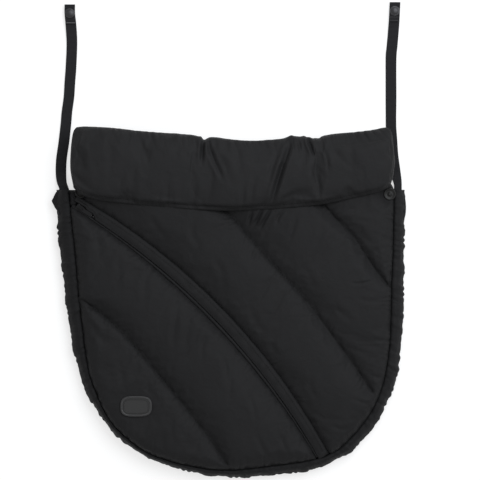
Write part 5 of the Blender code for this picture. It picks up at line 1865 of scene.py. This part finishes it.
@dataclass
class WebbingStrap:
    """One webbing strap on the floor: its root tucked under the band, its end folded back and sewn."""

    side: Side
    width: float = 0.014
    thickness: float = 0.0015
    tuck: float = 0.0165
    ramp: float = 0.022
    root_height: float = 0.01025
    lift_place: float = 0.156
    middle_length: float = 0.034
    end_fold: float = 0.0255
    end_rest: float = 0.024
    cap: float = 0.002
    gap: float = 0.0003
    snap_inset: float = 0.0115
    pinch: float = 0.0044
    pinch_place: float = 0.004
    bend: float = 0.005
    left_shares: tuple = (
        (-0.07, 0.0205), (0.0, 0.017), (0.035, 0.004), (0.07, -0.003), (0.11, -0.005), (0.17, -0.002),
        (0.26, 0.011), (0.36, 0.022), (0.42, 0.027), (0.5, 0.038), (0.58, 0.043), (0.66, 0.049),
        (0.79, 0.054), (0.89, 0.049), (0.95, 0.043), (1.0, 0.043))
    right_shares: tuple = (
        (-0.07, -0.0094), (0.0, -0.0061), (0.06, -0.006), (0.13, -0.014), (0.19, -0.022), (0.28, -0.028),
        (0.35, -0.032), (0.5, -0.032), (0.7, -0.032), (0.76, -0.027), (0.83, -0.021), (0.9, -0.016),
        (1.0, -0.011))

    @property
    def length(self) -> float:
        """Length of the strap above its root."""
        return 0.241 if self.side is Side.LEFT else 0.244

    @property
    def root(self) -> Array:
        """Plan position of the root."""
        return PATTERN.place((-0.974 if self.side is Side.LEFT else 0.962, 1.0))

    def centre(self, travel: Array) -> Array:
        """Plan position of the middle line at heights above the root.

        Args:
            travel: The heights.

        Returns:
            The position at each height.
        """
        shares = np.array(self.left_shares if self.side is Side.LEFT else self.right_shares)
        smooth = smooth_curve(shares, 200)
        sideways = np.interp(travel / self.length, smooth[:, 0], smooth[:, 1]) * self.length
        return np.stack([self.root[0] + sideways, self.root[1] + travel], axis=-1)

    def floor(self, travel: Array) -> Array:
        """Height of the webbing's under side."""
        snap_run = self.length - self.end_fold
        return np.interp(travel, [0.0, self.ramp, snap_run - self.end_rest, snap_run],
                         [self.root_height, self.gap, self.gap, self.cap + self.gap])

    def stretch(self, name: str, start: float, end: float, lift: float = 0.0, trim: float = 0.0,
                fold: bool = False) -> Piece:
        """Make a stretch of webbing with rounded selvedges.

        Args:
            name: The piece's name.
            start: Travel at which it starts.
            end: Travel at which it ends.
            lift: Height added to it.
            trim: How much narrower it is on each side.
            fold: The far end turns up over its own edge, as the folded-back end does.

        Returns:
            The piece.
        """
        count = max(6, int((end - start) / 0.003))
        travel = np.linspace(start, end, count)
        centre, low = self.centre(travel), self.floor(travel) + lift
        half, thick = self.width / 2 - trim, self.thickness
        noise = Ripple(81 if self.side is Side.LEFT else 82)
        wave = 0.00025 * noise.at(travel / 0.03, np.full(count, 0.5))
        shape = [(-1, 0.5), (-0.97, 0.12), (-0.9, 0.0), (-0.5, 0.0), (0, 0.0), (0.5, 0.0), (0.9, 0.0),
                 (0.97, 0.12), (1, 0.5), (0.97, 0.88), (0.9, 1.0), (0.5, 0.96), (0, 0.94), (-0.5, 0.96),
                 (-0.9, 1.0), (-0.97, 0.88)]
        inner = 1 if self.side is Side.LEFT else -1
        pinch = self.pinch * np.exp(-((travel - self.pinch_place) / 0.011) ** 2)
        rings = []
        for k in range(count):
            side = half + wave[k]
            rings.append([(centre[k, 0] + s * side - inner * pinch[k] * (1 + inner * s) / 2, centre[k, 1],
                           low[k] + h * thick) for s, h in shape])
        bm = swept(np.array(rings))
        if fold:
            tip = self.root[1] + end
            for vert in bm.verts:
                if tip - vert.co.y < 0.0002:
                    vert.co.y -= 0.0004 * abs((vert.co.z - low[-1]) / thick - 0.5)
        piece = publish(name, bm, WEBBING)
        piece.data.set_sharp_from_angle(angle=math.radians(75))
        return piece

    def stitches(self, name: str, travels: Sequence[float], body: Body) -> Piece:
        """Lines of pale stitching across the folded end.

        Args:
            name: The piece's name.
            travels: Heights of the lines above the root.
            body: The body that it rides on.

        Returns:
            The stitching.
        """
        size = Matrix.Diagonal((0.0014, 0.00035, 0.0003, 1))
        places = []
        for travel in travels:
            x, y = self.centre(np.array([travel]))[0]
            top = float(self.floor(np.array([travel]))[0]) + 2 * self.thickness + self.gap
            for share in np.linspace(-1, 1, 5):
                places.append(Matrix.Translation((x + share * (self.width / 2 - 0.0024), y, top)) @ size)
        stitch = bmesh.new()
        bmesh.ops.create_uvsphere(stitch, u_segments=8, v_segments=6, radius=1)
        finish = GREY_THREAD if self.side is Side.LEFT else DARK_THREAD
        piece = publish(name, stamped(stitch, places), finish, recalc=False)
        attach(piece, body.value)
        return piece

    def build(self) -> list[Piece]:
        """Make the strap's stretches, its stitching and its snap.

        Returns:
            The strap's pieces.
        """
        label = self.side.value
        middle, end = Body("strap_%s_middle" % label), Body("strap_%s_end" % label)
        half = self.lift_place + self.middle_length / 2
        loop = self.lift_place + self.middle_length
        low = self.stretch("webbing_%s_root" % label, -self.tuck, half)
        high = self.stretch("webbing_%s_snap_end" % label, half, self.length)
        turned = self.stretch("webbing_%s_folded_end" % label, self.length - self.end_fold, self.length,
                              lift=self.thickness + self.gap / 2, trim=0.0002, fold=True)
        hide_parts("strap_%s_lower" % label, "strap_%s_middle" % label)
        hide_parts("strap_%s_end" % label)
        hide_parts("strap_%s_end_fold" % label)
        for piece, first, second, travel in ((low, Body.MUFF, middle, self.lift_place),
                                             (high, middle, end, loop)):
            x, y = self.centre(np.array([travel]))[0]
            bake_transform(piece)
        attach(turned, end.value)
        travels = [self.length - self.end_fold + 0.0015]
        if self.side is Side.RIGHT:
            travels.append(self.length - self.end_fold + 0.006)
        made = [low, high, turned, self.stitches("webbing_%s_stitches" % label, travels, end)]
        return made + self.snap(end)

    def snap(self, body: Body) -> list[Piece]:
        """The socket on the strap's face and the cap under it.

        Args:
            body: The body that they ride on.

        Returns:
            The socket and the cap.
        """
        label = self.side.value
        x, y = self.centre(np.array([self.length - self.snap_inset]))[0]
        top = self.cap + 2 * self.gap + 2 * self.thickness
        socket = turned_piece("snap_socket_%s_plated" % label, [
            (0, 2.7), (1.4, 2.65), (2.8, 2.4), (4, 2), (4.8, 1.55), (5.2, 1.25), (5.5, 1.25), (6, 1.3),
            (6.4, 1), (6.5, 0.5), (6.5, 0), (0, 0)], (x, y, top), GUNMETAL)
        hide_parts("snap_socket_" + label)
        cap = turned_piece("snap_cap_%s_plated" % label, [
            (0, 0), (5, 0), (6, 0.3), (6.5, 1), (6.4, 1.7), (5.8, 2), (1.6, 2), (1.5, 5), (0, 5)],
            (x, y, 0.0), GUNMETAL)
        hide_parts("snap_cap_" + label)
        for piece in (socket, cap):
            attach(piece, body.value)
        return [socket, cap]


def turned_piece(name: str, profile: Points, place: Sequence[float],
                 finish: Finish) -> Piece:
    """Turn a profile about an upright line.

    Args:
        name: The piece's name.
        profile: Points of (radius, height) in mm, both ends on the axis.
        place: Where the profile's foot stands.
        finish: Its finish.

    Returns:
        The turned piece.
    """
    bm = bmesh.new()
    verts = [bm.verts.new((r * MM, 0, h * MM)) for r, h in profile]
    edges = [bm.edges.new(pair) for pair in zip(verts, verts[1:])]
    bmesh.ops.spin(bm, geom=verts + edges, cent=(0, 0, 0), axis=(0, 0, 1), angle=2 * math.pi, steps=48,
                   use_merge=True)
    bmesh.ops.remove_doubles(bm, verts=bm.verts, dist=1e-6)
    bmesh.ops.translate(bm, verts=bm.verts, vec=Vector(place))
    made = publish(name, bm, finish)
    made.data.set_sharp_from_angle(angle=math.radians(50))
    return made


@dataclass
class PressStuds:
    """The two studs at the top corners of the body, with a rivet behind each."""

    base: float = 0.0246
    rivet_base: float = 0.0132

    def build(self) -> list[Piece]:
        """Make both studs and rivets.

        Returns:
            The studs and rivets.
        """
        made = []
        for side, share, body in ((Side.LEFT, PATTERN.stud_left_share, Body.FLAP),
                                  (Side.RIGHT, PATTERN.stud_right_share, Body.MUFF)):
            x, y = PATTERN.place(share)
            stud = turned_piece("stud_%s_plated" % side.value, [
                (0, -9.3), (1.4, -9.3), (1.5, 0), (7, 0), (7.8, 0.3), (8, 0.9), (7.7, 1.5), (6.9, 1.8),
                (6, 1.4), (4.8, 0.9), (3, 0.9), (2.1, 1.3), (2, 2.2), (2.2, 3), (1.8, 3.6), (0, 3.7)],
                (x, y, self.base), STUD_ENAMEL)
            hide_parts("stud_" + side.value)
            rivet = turned_piece("stud_rivet_%s_plated" % side.value, [
                (0, -0.3), (3.5, -0.2), (5, 0.2), (5.5, 0.7), (5.4, 1.2), (0, 1.2)],
                (x, y, self.rivet_base), STUD_ENAMEL)
            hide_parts("stud_rivet_" + side.value)
            for piece in (stud, rivet):
                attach(piece, body.value)
                made.append(piece)
        return made


@dataclass
class CornerTabs:
    """The folded ends of the band that stand out where the straps are sewn in."""

    thickness: float = 0.007
    left: tuple = ((-0.985, 1.003), (-1.008, 0.99), (-1.022, 0.972), (-1.031, 0.962), (-1.022, 0.95),
                   (-1.01, 0.936), (-0.985, 0.915))
    right: tuple = ((0.985, 0.995), (1.002, 0.985), (1.009, 0.965), (1.012, 0.94), (1.01, 0.918),
                    (1.003, 0.9), (0.985, 0.885))

    def build(self) -> list[Piece]:
        """Make both tabs.

        Returns:
            The tabs.
        """
        made = []
        for side, shares in ((Side.LEFT, self.left), (Side.RIGHT, self.right)):
            line = smooth_curve([PATTERN.place(s) for s in shares], 28)
            inner = 0.985 * (-1 if side is Side.LEFT else 1)
            inner_x = PATTERN.place((inner, 0))[0]
            rings = []
            for x, y in line:
                reach = x - inner_x
                ring = []
                for turn in np.linspace(-math.pi / 2, math.pi / 2, 9):
                    spread = self.thickness * (1 - 0.55 * min(abs(reach) / 0.01, 1))
                    ring.append((inner_x + reach * math.cos(turn), y, 0.0115 + spread * math.sin(turn)))
                rings.append(ring)
            tab = publish("band_tab_" + side.value, swept(np.array(rings)), BAND)
            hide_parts("strap_anchor_" + side.value)
            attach(tab, Body.MUFF.value)
            made.append(tab)
        return made


@dataclass
class EndFacings:
    """The folded edges of the front at both ends of the zip, between it and the band's seam."""

    foot_run: float = 0.015
    head_travel: float = 0.0058

    def build(self) -> list[Piece]:
        """Make both facings."""
        return [self.head(), self.foot()]

    def pad(self, name: str, corners: Points, count: int, loft: float, pucker: float, seed: int,
            **sizes: Any) -> Piece:
        """A small flat pad.

        Args:
            name: The piece's name.
            corners: The corners of its outline.
            count: Points round its outline.
            loft: How high its rim is.
            pucker: How deep its rim's puckers are.
            seed: Seed of its rim's puckers.
            sizes: Its other sizes.

        Returns:
            The pad.
        """
        outline = counter_clockwise(resample(np.array([*corners, corners[0]]), count)[:-1])
        rim = SewnLine(closed(outline), loft, pucker, 0.004, 0.006, seed)
        pad = QuiltedPad(name, outline, [], rim, spacing=0.002, pressure=0.5, slack=0.0, seed=seed + 1,
                         finish=BAND, slot="band_nylon", **sizes).build()
        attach(pad, Body.MUFF.value)
        return pad

    def foot(self) -> Piece:
        """The facing below the zip's lower end.

        Returns:
            The facing.
        """
        start, end = ZIP.length - self.foot_run, ZIP.length + 0.0006
        near, far = ZIP.half_width(start), ZIP.half_width(ZIP.length)
        corners = [ZIP.point(start, -near), ZIP.point(end, -far), ZIP.point(end, far), ZIP.point(start, near)]
        return self.pad("zip_foot_facing", corners, 40, 0.0022, 0.0002, 93, base=0.0164, crown=0.0203,
                        run=0.004, cap=0.0005, billow=0.0001)

    def head(self) -> Piece:
        """The facing in the corner above the zip's start.

        Returns:
            The facing.
        """
        low, high = [ZIP.point(0.0, side * ZIP.half_width(0.0)) for side in (-1, 1)]
        corners = [PATTERN.seen(69.2, 191.6), PATTERN.seen(69.8, 198.0), PATTERN.seen(70.4, 205.4), low,
                   ZIP.point(self.head_travel, -0.003), ZIP.point(self.head_travel, 0.005),
                   high + np.array([0.0004, -0.0006]), PATTERN.seen(79.6, 193.6), PATTERN.seen(79.0, 191.2)]
        crease = Crease(PATTERN.traced([(71, 193), (74, 197), (76, 200)]), 0.0008, 0.001)
        return self.pad("corner_facing", corners, 48, 0.0028, 0.0004, 91, base=0.0168, crown=0.0226,
                        run=0.005, creases=[crease], cap=0.001, billow=0.0003)


@dataclass
class RubberBadge:
    """The bare rubber badge: a raised rim, a fine groove inside it and a flat grained field."""

    width: float = 0.0403
    height: float = 0.0265
    place_share: tuple[float, float] = (-0.541, 0.25)
    base: float = 0.0343
    power: float = 3.2
    rim_width: float = 0.0023
    rim_height: float = 0.0009

    def squared(self, x: float, y: float) -> Array:
        """Move a point of the unit circle onto the badge's squarer outline."""
        return np.array([math.copysign(abs(v) ** (2 / self.power), v) for v in (x, y)])

    def rim(self, centre: Array) -> Piece:
        """The glossy bead round the badge's edge, painted paler as a highlight.

        Args:
            centre: The badge's middle in plan.

        Returns:
            The bead.
        """
        rings = []
        for turn in np.linspace(0, 2 * math.pi, 120, endpoint=False):
            side = self.squared(math.cos(turn), math.sin(turn))
            ring = []
            for across in np.linspace(0, 2 * math.pi, 12, endpoint=False):
                inward = self.rim_width * (1 - math.cos(across)) / 2
                half = np.array([self.width / 2 - inward, self.height / 2 - inward])
                height = self.rim_height * math.sin(across)
                ring.append((*(centre + side * half), self.base + 0.0014 + height))
            rings.append(ring)
        rings.append(rings[0])
        bm = swept(np.array(rings), caps=False)
        bmesh.ops.remove_doubles(bm, verts=bm.verts, dist=1e-7)
        rim = publish("rubber_badge_rim", bm, RUBBER_RIM_HIGHLIGHT)
        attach(rim, Body.MUFF.value)
        return rim

    def build(self) -> list[Piece]:
        """Make the badge.

        Returns:
            The badge's pieces.
        """
        centre = PATTERN.place(self.place_share)
        bm = bmesh.new()
        found = bmesh.ops.create_circle(bm, cap_ends=True, segments=96, radius=1)
        for vert in found["verts"]:
            side = self.squared(vert.co.x, vert.co.y) * (self.width / 2, self.height / 2)
            vert.co = (*(centre + side), self.base - 0.0006)
        bmesh.ops.recalc_face_normals(bm, faces=bm.faces)
        bottom = list(bm.faces)
        copied = bmesh.ops.extrude_face_region(bm, geom=bottom)["geom"]
        top = [g for g in copied if isinstance(g, bmesh.types.BMFace)]
        bmesh.ops.translate(bm, verts=[g for g in copied if isinstance(g, bmesh.types.BMVert)],
                            vec=(0, 0, 0.0022))
        for thickness, depth in ((0.0006, 0.0006), (0.0008, 0.0002), (0.0006, -0.0009), (0.0015, 0.0),
                                 (0.0005, 0.0006), (0.0006, 0.0), (0.0005, -0.0005)):
            bmesh.ops.inset_region(bm, faces=top, thickness=thickness, depth=depth, use_even_offset=True)
        badge = publish("rubber_badge", bm, RUBBER)
        badge.data.set_sharp_from_angle(angle=math.radians(35))
        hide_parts("badge_patch")
        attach(badge, Body.MUFF.value)
        return [badge, self.rim(centre)]


# Studio


@dataclass
class Studio:
    """A pale floor, soft light from the upper right, and a long-lensed camera straight above."""

    camera_height: float = 5.0
    view_width: float = 0.624
    key_power: float = 18.0
    fill: float = 0.52
    lift: float = 0.64

    def floor(self) -> None:
        """A white floor that keeps the footmuff's soft shadow."""
        bm = bmesh.new()
        bmesh.ops.create_grid(bm, x_segments=1, y_segments=1, size=4)
        bmesh.ops.translate(bm, verts=bm.verts, vec=(0, 0, -0.0004))
        mesh = bpy.data.meshes.new("floor")
        bm.to_mesh(mesh)
        bm.free()
        ground = bpy.data.objects.new("floor", mesh)
        bpy.context.collection.objects.link(ground)
        made, tree, shader = new_material("matt_white_floor")
        rays = [add_node(tree, "LightPath", output="Is %s Ray" % kind) for kind in ("Camera", "Glossy")]
        seen = add_node(tree, "Math", dict(enumerate(rays)), operation="MAXIMUM")
        lift = add_node(tree, "Math", {0: seen, 1: self.lift}, operation="MULTIPLY")
        set_inputs(tree, shader, {"Base Color": linear("b8b8b8"), "Roughness": 0.95,
                                  "Emission Color": (1, 1, 1, 1), "Emission Strength": lift})
        mesh.materials.append(made)

    def lights(self) -> None:
        """A large soft lamp at the upper right, and an even pale world."""
        data = bpy.data.lights.new("key", "AREA")
        data.shape = "RECTANGLE"
        data.size = 1.6
        data.size_y = 1.2
        data.energy = self.key_power
        data.color = (0.93, 0.96, 1.0)
        lamp = bpy.data.objects.new("key", data)
        lamp.location = (0.66, 0.68, 1.4)
        lamp.rotation_euler = (Vector((0, 0, 0)) - lamp.location).to_track_quat("-Z", "Y").to_euler()
        bpy.context.collection.objects.link(lamp)
        world = bpy.data.worlds.new("pale_studio")
        world.use_nodes = True
        tree = world.node_tree
        seen = add_node(tree, "LightPath", output="Is Camera Ray")
        strength = add_node(tree, "Mix", {0: seen, 2: self.fill, 3: 1.0}, data_type="FLOAT")
        set_inputs(tree, tree.nodes["Background"], {"Color": (1, 1, 1, 1), "Strength": strength})
        bpy.context.scene.world = world

    def camera(self) -> None:
        """The camera, straight above the middle of the picture."""
        data = bpy.data.cameras.new("above")
        data.sensor_width = 36
        data.lens = 36 * self.camera_height / self.view_width
        data.clip_end = 20
        middle = PATTERN.seen(240, 240)
        eye = bpy.data.objects.new("above", data)
        eye.location = (middle[0], middle[1], self.camera_height)
        bpy.context.collection.objects.link(eye)
        bpy.context.scene.camera = eye

    def build(self) -> None:
        """Set up the whole studio."""
        self.floor()
        self.lights()
        self.camera()
        bpy.context.scene.view_settings.view_transform = "Standard"


def main() -> None:
    """Build every piece in order, from the floor up."""
    logging.basicConfig(level=logging.INFO, format="%(message)s")
    Studio().build()
    parts = [GatheredBand(), QuiltedFront(), DiagonalZip(), RolledCuff(), PressStuds(), CornerTabs(),
             EndFacings(), RubberBadge(), WebbingStrap(Side.LEFT, pinch=0.0012), WebbingStrap(Side.RIGHT)]
    for part in parts:
        for piece in part.build():
            LOG.info("%s: %d faces", piece.name, len(piece.data.polygons))
    dress("hem_elastic", ELASTIC)


if __name__ == "__main__":
    main()
